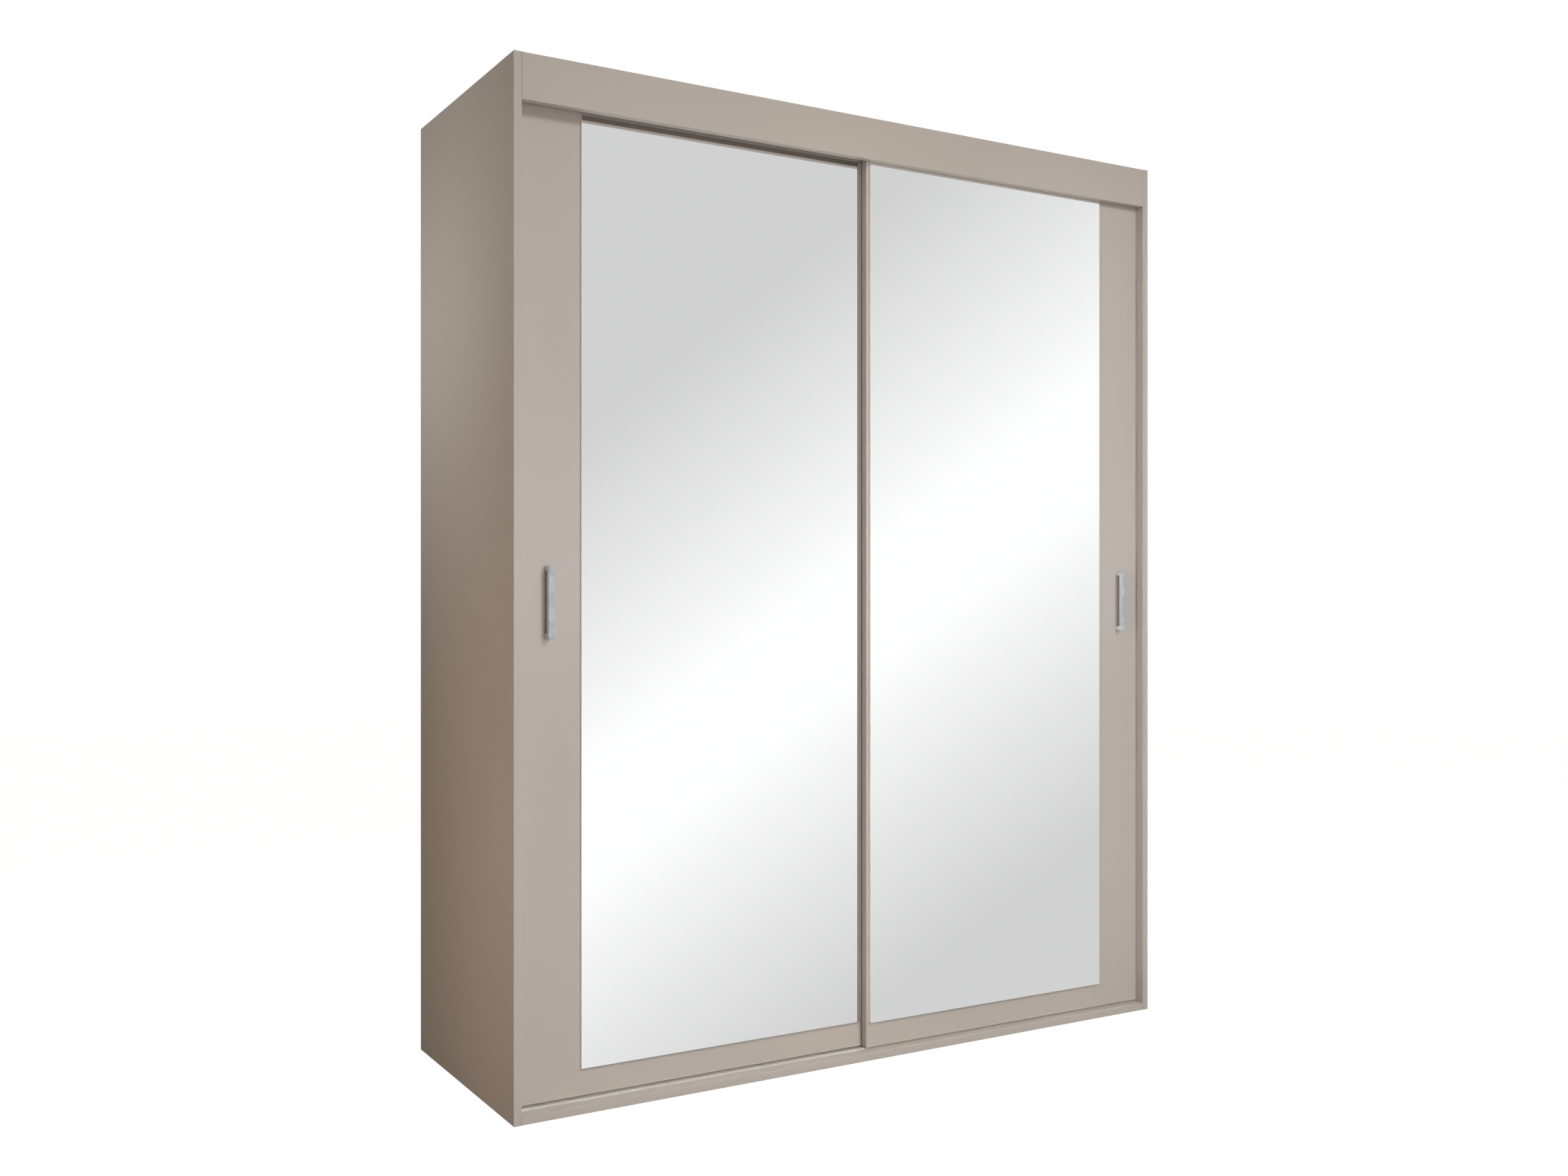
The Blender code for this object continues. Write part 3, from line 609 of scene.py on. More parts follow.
def hardboard():
    """Brown back face of the hardboard: felted fibres with a faint screen pattern."""
    f = Finish("hardboard", IOR=1.45)
    fibres = f.noise(f.stretch(f.place, (1.0, 1.0, 0.35)), 900.0, 5.0, 0.7)
    clouds = f.noise(f.place, 7.0, 4.0)
    brown = f.blend(fibres, (0.235, 0.145, 0.080, 1.0), (0.42, 0.285, 0.175, 1.0))
    drift = f.effect("cloudy_tone", Place=f.place, Colour=brown, Scale=3.0, Amount=0.35)["Colour"]
    f.feed(Base_Color=drift, Roughness=f.spread(clouds, 0.3, 0.7, 0.62, 0.78))
    f.relief(fibres, 0.35, 0.0002)
    return f.material


def silvering():
    """Mirror: clean silver behind glass, with the faintest film of smears."""
    f = Finish("silvering", Metallic=1.0, Base_Color=(0.935, 0.940, 0.938, 1.0))
    smears = f.noise(f.stretch(f.place, (1.0, 1.0, 0.5)), 3.0, 6.0, 0.65)
    f.feed(Roughness=f.spread(smears, 0.35, 0.80, 0.008, 0.030))
    return f.material


def ground_glass():
    """Ground and polished arris of the mirror."""
    f = Finish("ground_glass", IOR=1.52)
    ground = f.noise(f.place, 1200.0, 2.0)
    f.feed(
        Base_Color=f.blend(ground, (0.78, 0.81, 0.80, 1.0), (0.90, 0.92, 0.915, 1.0)),
        Roughness=f.spread(ground, 0.3, 0.7, 0.28, 0.45),
    )
    return f.material


def mirror_backing():
    """Grey protective paint behind the silver."""
    f = Finish("mirror_backing", IOR=1.45)
    colour = (0.16, 0.17, 0.18, 1.0)
    tone = f.effect("cloudy_tone", Place=f.place, Colour=colour, Scale=12.0, Amount=0.3)["Colour"]
    rough = f.effect("handling_marks", Place=f.place, Base=0.55, Amount=0.2)["Roughness"]
    f.feed(Base_Color=tone, Roughness=rough)
    return f.material


def brushed_metal(name, dark, light, roughness, stretch, metallic=1.0, relief=0.15):
    """Metal with fine lines along one axis. stretch is small along that axis."""
    f = Finish(name, Metallic=metallic)
    lines = f.effect("brushed", Place=f.stretch(f.place, stretch))
    rough = f.effect("handling_marks", Place=f.place, Base=roughness, Amount=0.16)["Roughness"]
    rubbed = f.effect("edge_wear", Place=f.place, Amount=0.35)["Mask"]
    base = f.blend(lines["Tone"], dark, light)
    f.feed(Base_Color=f.blend(rubbed, base, (0.80, 0.80, 0.80, 1.0)), Roughness=rough)
    f.relief(lines["Height"], relief, 0.00005)
    return f.material


def moulded_plastic(name, colour, roughness):
    """Injection-moulded plastic with a spark-eroded grain."""
    f = Finish(name, IOR=1.5)
    tone = f.effect("cloudy_tone", Place=f.place, Colour=colour, Scale=30.0, Amount=0.16)["Colour"]
    grain = f.effect("fine_pores", Place=f.place, Scale=2400.0)
    rough = f.effect("handling_marks", Place=f.place, Base=roughness, Amount=0.18)["Roughness"]
    speckled = f.blend(f.maths("MULTIPLY", grain["Mask"], 0.15), tone, (0.6, 0.6, 0.58, 1.0))
    f.feed(Base_Color=speckled, Roughness=rough)
    f.relief(grain["Height"], 0.25, 0.00006)
    return f.material


MELAMINE = melamine("warm_grey_melamine", WARM_GREY, 0.42, 0.10)
EDGING = melamine("warm_grey_edging", EDGING_GREY, 0.40, 0.10)
CHIPBOARD = chipboard()
HARDBOARD = hardboard()
SILVERING = silvering()
GROUND_GLASS = ground_glass()
BACKING = mirror_backing()
SATIN_SILVER = brushed_metal(
    "satin_silver", (0.33, 0.345, 0.35, 1.0), (0.44, 0.455, 0.46, 1.0), 0.34, (1.0, 1.0, 0.008), 0.4
)
# Lighter silver for the handle's faces that look along X: a painted highlight standing in for light falling on
# the bar's sides.
SILVER_PAINTED_HIGHLIGHT = brushed_metal(
    "silver_painted_highlight", (0.66, 0.67, 0.68, 1.0), (0.78, 0.79, 0.80, 1.0), 0.30, (1.0, 1.0, 0.008), 0.2
)
TRACK_METAL = brushed_metal(
    "champagne_track", (0.52, 0.47, 0.43, 1.0), (0.66, 0.60, 0.56, 1.0), 0.36, (0.03, 1.0, 1.0), 0.25, 0.10
)
BRIGHT_STEEL = brushed_metal(
    "bright_steel", (0.50, 0.51, 0.52, 1.0), (0.72, 0.73, 0.74, 1.0), 0.20, (0.04, 1.0, 1.0)
)
ZINC = brushed_metal("zinc_plate", (0.46, 0.47, 0.48, 1.0), (0.66, 0.67, 0.66, 1.0), 0.30, (1.0, 1.0, 1.0))
DARK_PLASTIC = moulded_plastic("dark_grey_plastic", (0.115, 0.112, 0.108, 1.0), 0.48)
NYLON = moulded_plastic("natural_nylon", (0.70, 0.69, 0.66, 1.0), 0.40)
CAP_PLASTIC = moulded_plastic("cover_cap_plastic", (0.40, 0.35, 0.315, 1.0), 0.45)


# ---------------------------------------------------------------- boards

SIDES = {
    "left": (0, -1), "right": (0, 1), "front": (1, -1), "back": (1, 1), "bottom": (2, -1), "top": (2, 1),
}


def band_strip(name, low, high, side):
    """One strip of edge banding on a side of a board, with its two outer long edges rounded."""
    axis, sign = SIDES[side]
    strip_low, strip_high = low.copy(), high.copy()
    if sign > 0:
        strip_low[axis] = high[axis] - BAND
    else:
        strip_high[axis] = low[axis] + BAND
    strip = add_block(name, strip_low, strip_high)
    outer = strip_high[axis] if sign > 0 else strip_low[axis]
    size = strip_high - strip_low
    run = max((name for name in AXES if AXES[name] != axis), key=lambda name: size[AXES[name]])

    def outer_long_edge(edge):
        at_face = all(abs(vert.co[axis] - outer) < TINY for vert in edge.verts)
        return at_face and run_of(edge, run) > size[AXES[run]] / 2

    round_edges(strip, BAND_ROUND, 3, outer_long_edge)
    inset_faces(
        strip, BAND_FADE, lambda face: face.normal[axis] * sign > 0.99 and face.calc_area() > BAND * BAND
    )
    mark_arris(strip, BAND_ROUND * 1.1)
    return strip


def core_block(name, low, high, banded, thickness_axis):
    """A board's core, short of its banding, with a worn loop round each face."""
    low, high = low.copy(), high.copy()
    for side in banded:
        axis, sign = SIDES[side]
        if sign > 0:
            high[axis] -= BAND + GLUE_LINE
        else:
            low[axis] += BAND + GLUE_LINE
    core = add_block(name, low, high)
    round_edges(core, CORE_ROUND, 1)
    inset_faces(core, ARRIS_REACH, lambda face: abs(face.normal[thickness_axis]) > 0.9)
    mark_arris(core, ARRIS_WIDTH)
    return core


def board_finish(thickness_axis):
    """Chooses laminate for a board's two faces and raw chipboard for its edges."""
    def choose(face):
        return 0 if abs(face.normal[thickness_axis]) > 0.5 else 1
    return choose


def make_board(node, body, banded, tools=()):
    """A laminated board with banding on the named sides. The tools are cut out of it and used up."""
    low, high = corners(node)
    size = high - low
    thickness_axis = min(range(3), key=lambda i: size[i])
    core = core_block(f"{node}_core", low, high, banded, thickness_axis)
    strips = [band_strip(f"{node}_{side}_band", low, high, side) for side in banded]
    for piece in (core, *strips):
        cut(piece, tools, keep_tools=True)
    for tool in tools:
        bpy.data.objects.remove(tool, do_unlink=True)
    banding = weld(strips, f"{node}_banding")
    smooth(core)
    smooth(banding)
    paint(core, [MELAMINE, CHIPBOARD], board_finish(thickness_axis))
    paint(banding, [EDGING])
    place(core, body, "laminate", node)
    place(banding, body, "laminate", node)


def make_carcass():
    """Side panels, top, bottom, fascia, divider and shelves."""
    holes = shelf_pin_holes()
    make_board("side_panel_left", "carcass", ["front", "top", "bottom"])
    make_board("side_panel_right", "carcass", ["front", "top", "bottom"], holes["right"])
    make_board("bottom_panel", "carcass", ["front"])
    make_board("top_panel", "carcass", ["front"])
    make_board("top_fascia", "carcass", ["top", "bottom"])
    make_board("centre_divider", "carcass", ["front"], holes["left"])
    for name in ("hat_shelf_left", "hat_shelf_right", "shelf_1", "shelf_2", "shelf_3", "shelf_4"):
        make_board(name, "carcass", ["front"])


def shelf_pin_holes():
    """Cutters for the rows of pin holes either side of the adjustable shelf: five holes, 32 mm apart."""
    tools = {}
    for side, inward in (("left", -1), ("right", 1)):
        holes = []
        for row in ("front", "back"):
            low, high = corners(f"shelf_pin_{side}_{row}")
            centre = (low + high) / 2
            for step in range(-2, 3):
                spot = (
                    bay_wall(side) + inward * PIN_HOLE_INSET, centre.y, centre.z + step * PIN_HOLE_PITCH
                )
                holes.append(add_rod("pin_hole", spot, PIN_HOLE_RADIUS, PIN_HOLE_LENGTH, "X", 20))
        tools[side] = [weld(holes, f"pin_holes_{side}")]
    return tools


def bay_wall(side):
    """Where the right bay's left or right wall stands, in x."""
    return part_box("centre_divider")[1][0] if side == "left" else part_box("side_panel_right")[0][0]


# ---------------------------------------------------------------- back

def make_back():
    """Hardboard sheets, their nails and the strip between them."""
    for side in ("left", "right"):
        node = f"back_panel_{side}"
        low, high = corners(node)
        sheet = add_block(f"{node}_sheet", low, high)
        inset_faces(sheet, ARRIS_REACH, lambda face: abs(face.normal.y) > 0.9)
        mark_arris(sheet, ARRIS_WIDTH)
        paint(sheet, [MELAMINE, HARDBOARD], lambda face: 0 if face.normal.y < -0.5 else 1)
        place(sheet, "carcass", "back_sheet", node)
        make_nails(side, low, high)
    low, high = corners("back_joining_strip")
    inner_top = low.y + STRIP_FLANGE
    outer_base = high.y - STRIP_FLANGE
    strip = add_block("back_joining_strip_profile", low, (high.x, inner_top, high.z))
    score(strip, "X", [-STRIP_HALF_WEB, STRIP_HALF_WEB])

    def web_face(face):
        return face.normal.y > 0.9 and abs(face.calc_center_median().x) < STRIP_HALF_WEB / 2

    extrude_faces(strip, web_face, (0, outer_base - inner_top, 0))
    other = add_block("back_joining_strip_cover", (low.x, outer_base, low.z), high)
    round_edges(other, 0.3 * MM, 2, lambda edge: run_of(edge, "Z") > 1)
    joined = weld([strip, other], "back_joining_strip_piece")
    mark_arris(joined, 0.4 * MM)
    finish(joined, CAP_PLASTIC, "carcass", "nylon", "back_joining_strip")


def spaced(low, high, pitch):
    """Places between two ends, evenly, no further apart than the pitch."""
    count = max(1, math.ceil((high - low) / pitch))
    return [low + (high - low) * step / count for step in range(count + 1)]


def make_nails(side, low, high):
    """Panel pins round a back sheet and along the fixed shelves' level, driven just proud."""
    ends = (low.x + NAIL_INSET, high.x - NAIL_INSET)
    bottom, top = low.z + NAIL_INSET, high.z - NAIL_INSET
    spots = [(x, z) for x in ends for z in spaced(bottom, top, NAIL_PITCH)]
    shelf = sum(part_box(f"hat_shelf_{side}")[i][2] for i in (0, 1)) / 2
    for z in (bottom, top, shelf):
        spots += [(x, z) for x in spaced(*ends, SHELF_NAIL_PITCH)[1:-1]]
    stations = [
        (0.9 * MM, -1.0 * MM), (1.0 * MM, 0.0), (2.0 * MM, 0.15 * MM), (1.7 * MM, 0.45 * MM),
        (0.7 * MM, 0.6 * MM),
    ]
    head = add_turned("nail", stations, (0, high.y, 0), "Y", 12)
    nails = [copy_of(head, "nail", (x, 0, z)) for x, z in spots]
    bpy.data.objects.remove(head, do_unlink=True)
    joined = weld(nails, f"back_nails_{side}")
    finish(joined, ZINC, "carcass", "steel")


# ---------------------------------------------------------------- screws and small fittings

def cut_cross(screw, arm, wide, low, high):
    """Sinks a cross recess into a screw's head."""
    for x, y in ((arm, wide), (wide, arm)):
        cut(screw, [add_block("recess", (-x, -y, low), (x, y, high))])


def cross_screw(name, radius, proud, length):
    """A screw standing on Z with a domed head and a cross recess. Its seat is at height 0."""
    shank = radius * 0.47
    stations = [
        (shank * 0.3, -length), (shank, -length + 1.2 * MM), (shank, -0.2 * MM), (shank, 0.0),
        (radius, 0.0), (radius, proud * 0.35), (radius * 0.86, proud * 0.78), (radius * 0.45, proud),
    ]
    screw = add_turned(name, stations, (0, 0, 0), "Z", 28)
    cut_cross(screw, radius * 0.62, radius * 0.13, proud * 0.15, proud + MM)
    smooth(screw)
    return screw


def sunk_screw(name, radius, length):
    """A countersunk screw standing on Z, flat on top at height 0, with a cross recess."""
    shank = radius * 0.5
    stations = [
        (shank * 0.3, -length), (shank, -length + 1.2 * MM), (shank, shank - radius - 0.3 * MM),
        (radius, -0.3 * MM), (radius, -0.05 * MM), (radius * 0.95, 0.0),
    ]
    screw = add_turned(name, stations, (0, 0, 0), "Z", 24)
    cut_cross(screw, radius * 0.6, radius * 0.12, -MM, MM)
    smooth(screw)
    return screw


def set_screw(pattern, name, spot, axis, body, *nodes):
    """A copy of a screw, pointing its head along an axis, at its place."""
    made = copy_of(pattern, name)
    turn_to_axis(made, axis, spot)
    paint(made, [ZINC])
    place(made, body, "steel", *nodes)


def make_tracks(sunk):
    """Bottom track with its two ribs, top track with its four lips, their screws and the stops."""
    low, high = corners("bottom_track")
    plate_top = low.z + TRACK_PLATE
    planes = [wheel_plane("front"), wheel_plane("rear")]
    track = add_block("bottom_track_profile", low, (high.x, high.y, plate_top))
    score(track, "Y", [plane + side * HALF_RIB for plane in planes for side in (-1, 1)])

    def on_rib(face):
        y = face.calc_center_median().y
        return face.normal.z > 0.9 and any(abs(y - plane) < HALF_RIB / 2 for plane in planes)

    extrude_faces(track, on_rib, (0, 0, high.z - plate_top))
    long = (high.x - low.x) / 2
    above = low.z + MM
    round_edges(track, TRACK_ROUND, 2, lambda edge: run_of(edge, "X") > long and middle_of(edge).z > above)
    finish_profile(track, "bottom_track")

    low, high = corners("top_track")
    plate_bottom = high.z - TRACK_PLATE
    lips = [plane + side * (HALF_CHANNEL + CHANNEL_WALL / 2) for plane in planes for side in (-1, 1)]
    track = add_block("top_track_profile", (low.x, low.y, plate_bottom), high)
    cuts = [lip + side * CHANNEL_WALL / 2 for lip in lips for side in (-1, 1)]
    margin = 0.1 * MM
    score(track, "Y", [y for y in cuts if low.y + margin < y < high.y - margin])

    def on_lip(face):
        y = face.calc_center_median().y
        return face.normal.z < -0.9 and any(abs(y - lip) < CHANNEL_WALL / 2 for lip in lips)

    extrude_faces(track, on_lip, (0, 0, low.z - plate_bottom))
    below = low.z + MM
    round_edges(track, TRACK_ROUND, 2, lambda edge: run_of(edge, "X") > long and middle_of(edge).z < below)
    finish_profile(track, "top_track")

    between = sum(planes) / 2
    ends = (low.x + TRACK_SCREW_INSET, high.x - TRACK_SCREW_INSET)
    levels = (("bottom", plate_top + SCREW_PROUD, "Z"), ("top", plate_bottom - SCREW_PROUD, "-Z"))
    for count, x in enumerate(spaced(*ends, TRACK_SCREW_PITCH), 1):
        for track_name, z, axis in levels:
            set_screw(sunk, f"{track_name}_track_screw_{count}", (x, between, z), axis, "carcass")
    for door in ("front", "rear"):
        node = f"{door}_door_stop"
        low, high = corners(node)
        stop = add_block(f"{node}_block", low, high)
        middle = (low.y + high.y) / 2
        groove = add_block(
            "groove", (low.x - MM, middle - STOP_SLOT_HALF, low.z - MM),
            (high.x + MM, middle + STOP_SLOT_HALF, low.z + STOP_SLOT_DEPTH),
        )
        cut(stop, [groove])
        soften(stop, 0.5 * MM)
        finish(stop, DARK_PLASTIC, "carcass", "grey_plastic", node)


def finish_profile(track, node):
    """Marks the worn edges of a track and finishes it."""
    mark_arris(track, 0.5 * MM)
    finish(track, TRACK_METAL, "carcass", "track_metal", node)


def wheel_plane(door):
    """Middle plane of a door, in y."""
    low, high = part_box(f"{door}_door_roller_left_wheel")
    return (low[1] + high[1]) / 2


def make_rail():
    """Oval hanging rail and its two open-topped sockets."""
    low, high = corners("hanging_rail")
    middle = (low + high) / 2
    radius = (high.y - low.y) / 2
    stretch = (high.z - low.z) / 2 - radius
    bpy.ops.object.select_all(action="DESELECT")
    bpy.ops.mesh.primitive_cylinder_add(
        vertices=48, radius=radius, depth=high.x - low.x, end_fill_type="NOTHING"
    )
    rail = bpy.context.object
    rail.name = "hanging_rail_tube"
    turn_to_axis(rail, "X", middle)
    pick(rail, "VERT", lambda vert: vert.co.z > middle.z - TINY)
    bpy.ops.transform.translate(value=(0, 0, stretch))
    close_edit()
    pick(rail, "VERT", lambda vert: vert.co.z < middle.z - TINY)
    bpy.ops.transform.translate(value=(0, 0, -stretch))
    close_edit()
    apply_modifier(rail, "SOLIDIFY", thickness=RAIL_WALL, offset=-1.0)
    finish(rail, BRIGHT_STEEL, "carcass", "steel", "hanging_rail")
    for side, facing in (("left", 1), ("right", -1)):
        node = f"rail_socket_{side}"
        low, high = corners(node)
        socket = add_block(f"{node}_cup", low, high)
        back = low.x if facing > 0 else high.x
        inner = sorted((back + facing * SOCKET_BACK, back + facing * SOCKET_REACH))
        half = radius + SOCKET_PLAY
        seat_z = middle.z - stretch
        seat = add_rod("seat", (sum(inner) / 2, middle.y, seat_z), half, inner[1] - inner[0], "X", 40)
        entry = add_block(
            "entry", (inner[0], middle.y - half, seat_z), (inner[1], middle.y + half, high.z + PAST)
        )
        cut(socket, [seat, entry])
        soften(socket, 0.8 * MM, 3)
        finish(socket, SATIN_SILVER, "carcass", "satin_metal", node)


def make_shelf_pins():
    """Steel pins under the adjustable shelf."""
    for side, axis in (("left", "X"), ("right", "-X")):
        for row in ("front", "back"):
            node = f"shelf_pin_{side}_{row}"
            low, high = corners(node)
            centre = (low + high) / 2
            stations = [
                (1.5 * MM, -9 * MM), (2.5 * MM, -8 * MM), (2.5 * MM, 0.3 * MM), (3.6 * MM, 0.3 * MM),
                (4.0 * MM, 0.6 * MM), (4.0 * MM, 1.5 * MM), (3.7 * MM, 1.8 * MM), (2.5 * MM, 1.8 * MM),
                (2.5 * MM, 8.4 * MM), (1.9 * MM, 9 * MM),
            ]
            pin = add_turned(f"{node}_turned", stations, (bay_wall(side), centre.y, centre.z), axis, 28)
            finish(pin, ZINC, "carcass", "steel", node)


def make_cam_covers():
    """Round caps over the cam connectors, under the fixed shelves and the top panel."""
    cap = add_turned(
        "cap", [(8.6 * MM, 0.0), (8.6 * MM, 0.7 * MM), (8.2 * MM, 1.1 * MM), (3.0 * MM, 1.3 * MM)],
        (0, 0, 0), "-Z", 36,
    )
    for node in ("top_panel", "hat_shelf_left", "hat_shelf_right", "shelf_1", "shelf_3", "shelf_4"):
        low, high = corners(node)
        rows = (max(low.y, COVERS_FROM) + COVER_INSET_Y, high.y - COVER_INSET_Y)
        spots = [(x, y, low.z) for x in (low.x + COVER_INSET_X, high.x - COVER_INSET_X) for y in rows]
        covers = weld([copy_of(cap, "cap", spot) for spot in spots], f"{node}_cam_covers")
        finish(covers, CAP_PLASTIC, "carcass", "nylon")
    bpy.data.objects.remove(cap, do_unlink=True)


# ---------------------------------------------------------------- doors

def make_mirror(door):
    """A mirror with a ground arris, silvered on its face and painted behind."""
    node = f"{door}_door_mirror"
    low, high = corners(node)
    glass = add_block(f"{door}_door_mirror_glass", low, high)
    half_way = (low.y + high.y) / 2
    round_edges(glass, MIRROR_ARRIS, 1, lambda edge: middle_of(edge).y < half_way or run_of(edge, "Y") > MM)

    def choose(face):
        if face.normal.y < -0.99:
            return 0
        return 2 if face.normal.y > 0.99 else 1

    paint(glass, [SILVERING, GROUND_GLASS, BACKING], choose)
    place(glass, f"{door}_door", "mirror", node)


def make_handle(door):
    """A square bar with a leg at each end, drawn out of the bar and rounded all over."""
    node = f"{door}_door_handle"
    low, high = corners(node)
    handle = add_block(f"{node}_bar", low, (high.x, low.y + HANDLE_BAR, high.z))
    score(handle, "Z", [low.z + HANDLE_LEG, high.z - HANDLE_LEG])

    def leg_root(face):
        z = face.calc_center_median().z
        return face.normal.y > 0.9 and (z < low.z + HANDLE_LEG or z > high.z - HANDLE_LEG)

    extrude_faces(handle, leg_root, (0, high.y - low.y - HANDLE_BAR, 0))
    round_edges(handle, HANDLE_ROUND, 4)
    mark_arris(handle, 1.0 * MM)
    smooth(handle)
    # Faces that look along X get the lighter silver: a painted highlight on the bar's sides.
    paint(handle, [SATIN_SILVER, SILVER_PAINTED_HIGHLIGHT], lambda face: 1 if abs(face.normal.x) > 0.9 else 0)
    place(handle, f"{door}_door", "satin_metal", node)


def door_cutters(door):
    """Cutters for a door's mortises, screw holes and counterbores."""
    board_low, board_high = corners(f"{door}_door_board")
    back = board_high.y
    tools = []
    for side in ("left", "right"):
        for fitting, under, over in (("roller", PAST, CLEAR), ("guide", CLEAR, PAST)):
            low, high = corners(f"{door}_door_{fitting}_{side}_housing")
            tools.append(add_block(
                "mortise", (low.x - CLEAR, low.y - CLEAR, low.z - under),
                (high.x + CLEAR, back + PAST, high.z + over),
            ))
    for end in ("bottom", "top"):
        low, high = corners(f"{door}_handle_screw_{end}")
        centre = (low + high) / 2
        centre.y = (board_low.y + back) / 2
        tools.append(add_rod("screw_hole", centre, SCREW_HOLE_RADIUS, SCREW_HOLE_LENGTH, "Y", 20))
        centre.y = back
        tools.append(add_rod("counterbore", centre, COUNTERBORE_RADIUS, 2 * COUNTERBORE_DEPTH, "Y", 32))
    return tools


def make_roller(door, side, sunk):
    """Roller housing with its pocket, steel axle and grooved nylon wheel."""
    base = f"{door}_door_roller_{side}"
    body = f"{door}_door"
    low, high = corners(f"{base}_housing")
    wheel_low, wheel_high = corners(f"{base}_wheel")
    centre = (wheel_low + wheel_high) / 2
    housing = add_block(f"{base}_case", low, high)
    pocket = add_block(
        "pocket", (centre.x - HALF_POCKET_X, centre.y - HALF_POCKET_Y, low.z - PAST),
        (centre.x + HALF_POCKET_X, centre.y + HALF_POCKET_Y, wheel_high.z + WHEEL_HEADROOM),
    )
    bore = add_rod("bore", (centre.x, high.y - 6 * MM, centre.z), AXLE_BORE_RADIUS, AXLE_BORE_LENGTH, "Y", 24)
    sides = [centre.x - ROLLER_SCREW_OFFSET, centre.x + ROLLER_SCREW_OFFSET]
    half_relief = 2.6 * MM
    reliefs = [
        add_block(
            "relief", (x - half_relief, high.y - 1.2 * MM, low.z + 6 * MM),
            (x + half_relief, high.y + MM, low.z + 16 * MM),
        )
        for x in sides
    ]
    cut(housing, [pocket, bore, *reliefs])
    soften(housing, 0.35 * MM)
    finish(housing, DARK_PLASTIC, body, "grey_plastic", f"{base}_housing")
    for label, x in zip(("left", "right"), sides):
        set_screw(sunk, f"{base}_screw_{label}", (x, high.y + 0.05 * MM, high.z - 8 * MM), "Y", body)

    nose = 0.5 * MM
    stations = [
        (1.4 * MM, -HALF_AXLE), (AXLE_RADIUS, nose - HALF_AXLE), (AXLE_RADIUS, HALF_AXLE - nose),
        (1.4 * MM, HALF_AXLE),
    ]
    axle = add_turned(f"{base}_pin", stations, (centre.x, (low.y + high.y) / 2, centre.z), "Y", 32)
    finish(axle, ZINC, body, "steel", f"{base}_axle")

    rim, tread, flange = 2.5 * MM, 11.5 * MM, 12.7 * MM
    web, hub = 1.3 * MM, 4.6 * MM
    stations = [
        (2.3 * MM, -rim + 0.2 * MM), (2.6 * MM, -rim), (hub, -rim), (hub + 0.5 * MM, -web), (9.4 * MM, -web),
        (9.9 * MM, -rim + 0.1 * MM), (flange - 0.4 * MM, -rim), (flange, -rim + 0.4 * MM), (flange, -1.85 * MM),
        (tread + 0.15 * MM, -1.3 * MM), (tread, -1.0 * MM), (tread, 1.0 * MM), (tread + 0.15 * MM, 1.3 * MM),
        (flange, 1.85 * MM), (flange, rim - 0.4 * MM), (flange - 0.4 * MM, rim), (9.9 * MM, rim - 0.1 * MM),
        (9.4 * MM, web), (hub + 0.5 * MM, web), (hub, rim), (2.6 * MM, rim), (2.3 * MM, rim - 0.2 * MM),
    ]
    wheel = add_turned(f"{base}_tyre", stations, centre, "Y", 64, ring=True)
    finish(wheel, NYLON, f"{door}_{side}_wheel", "nylon", f"{base}_wheel")


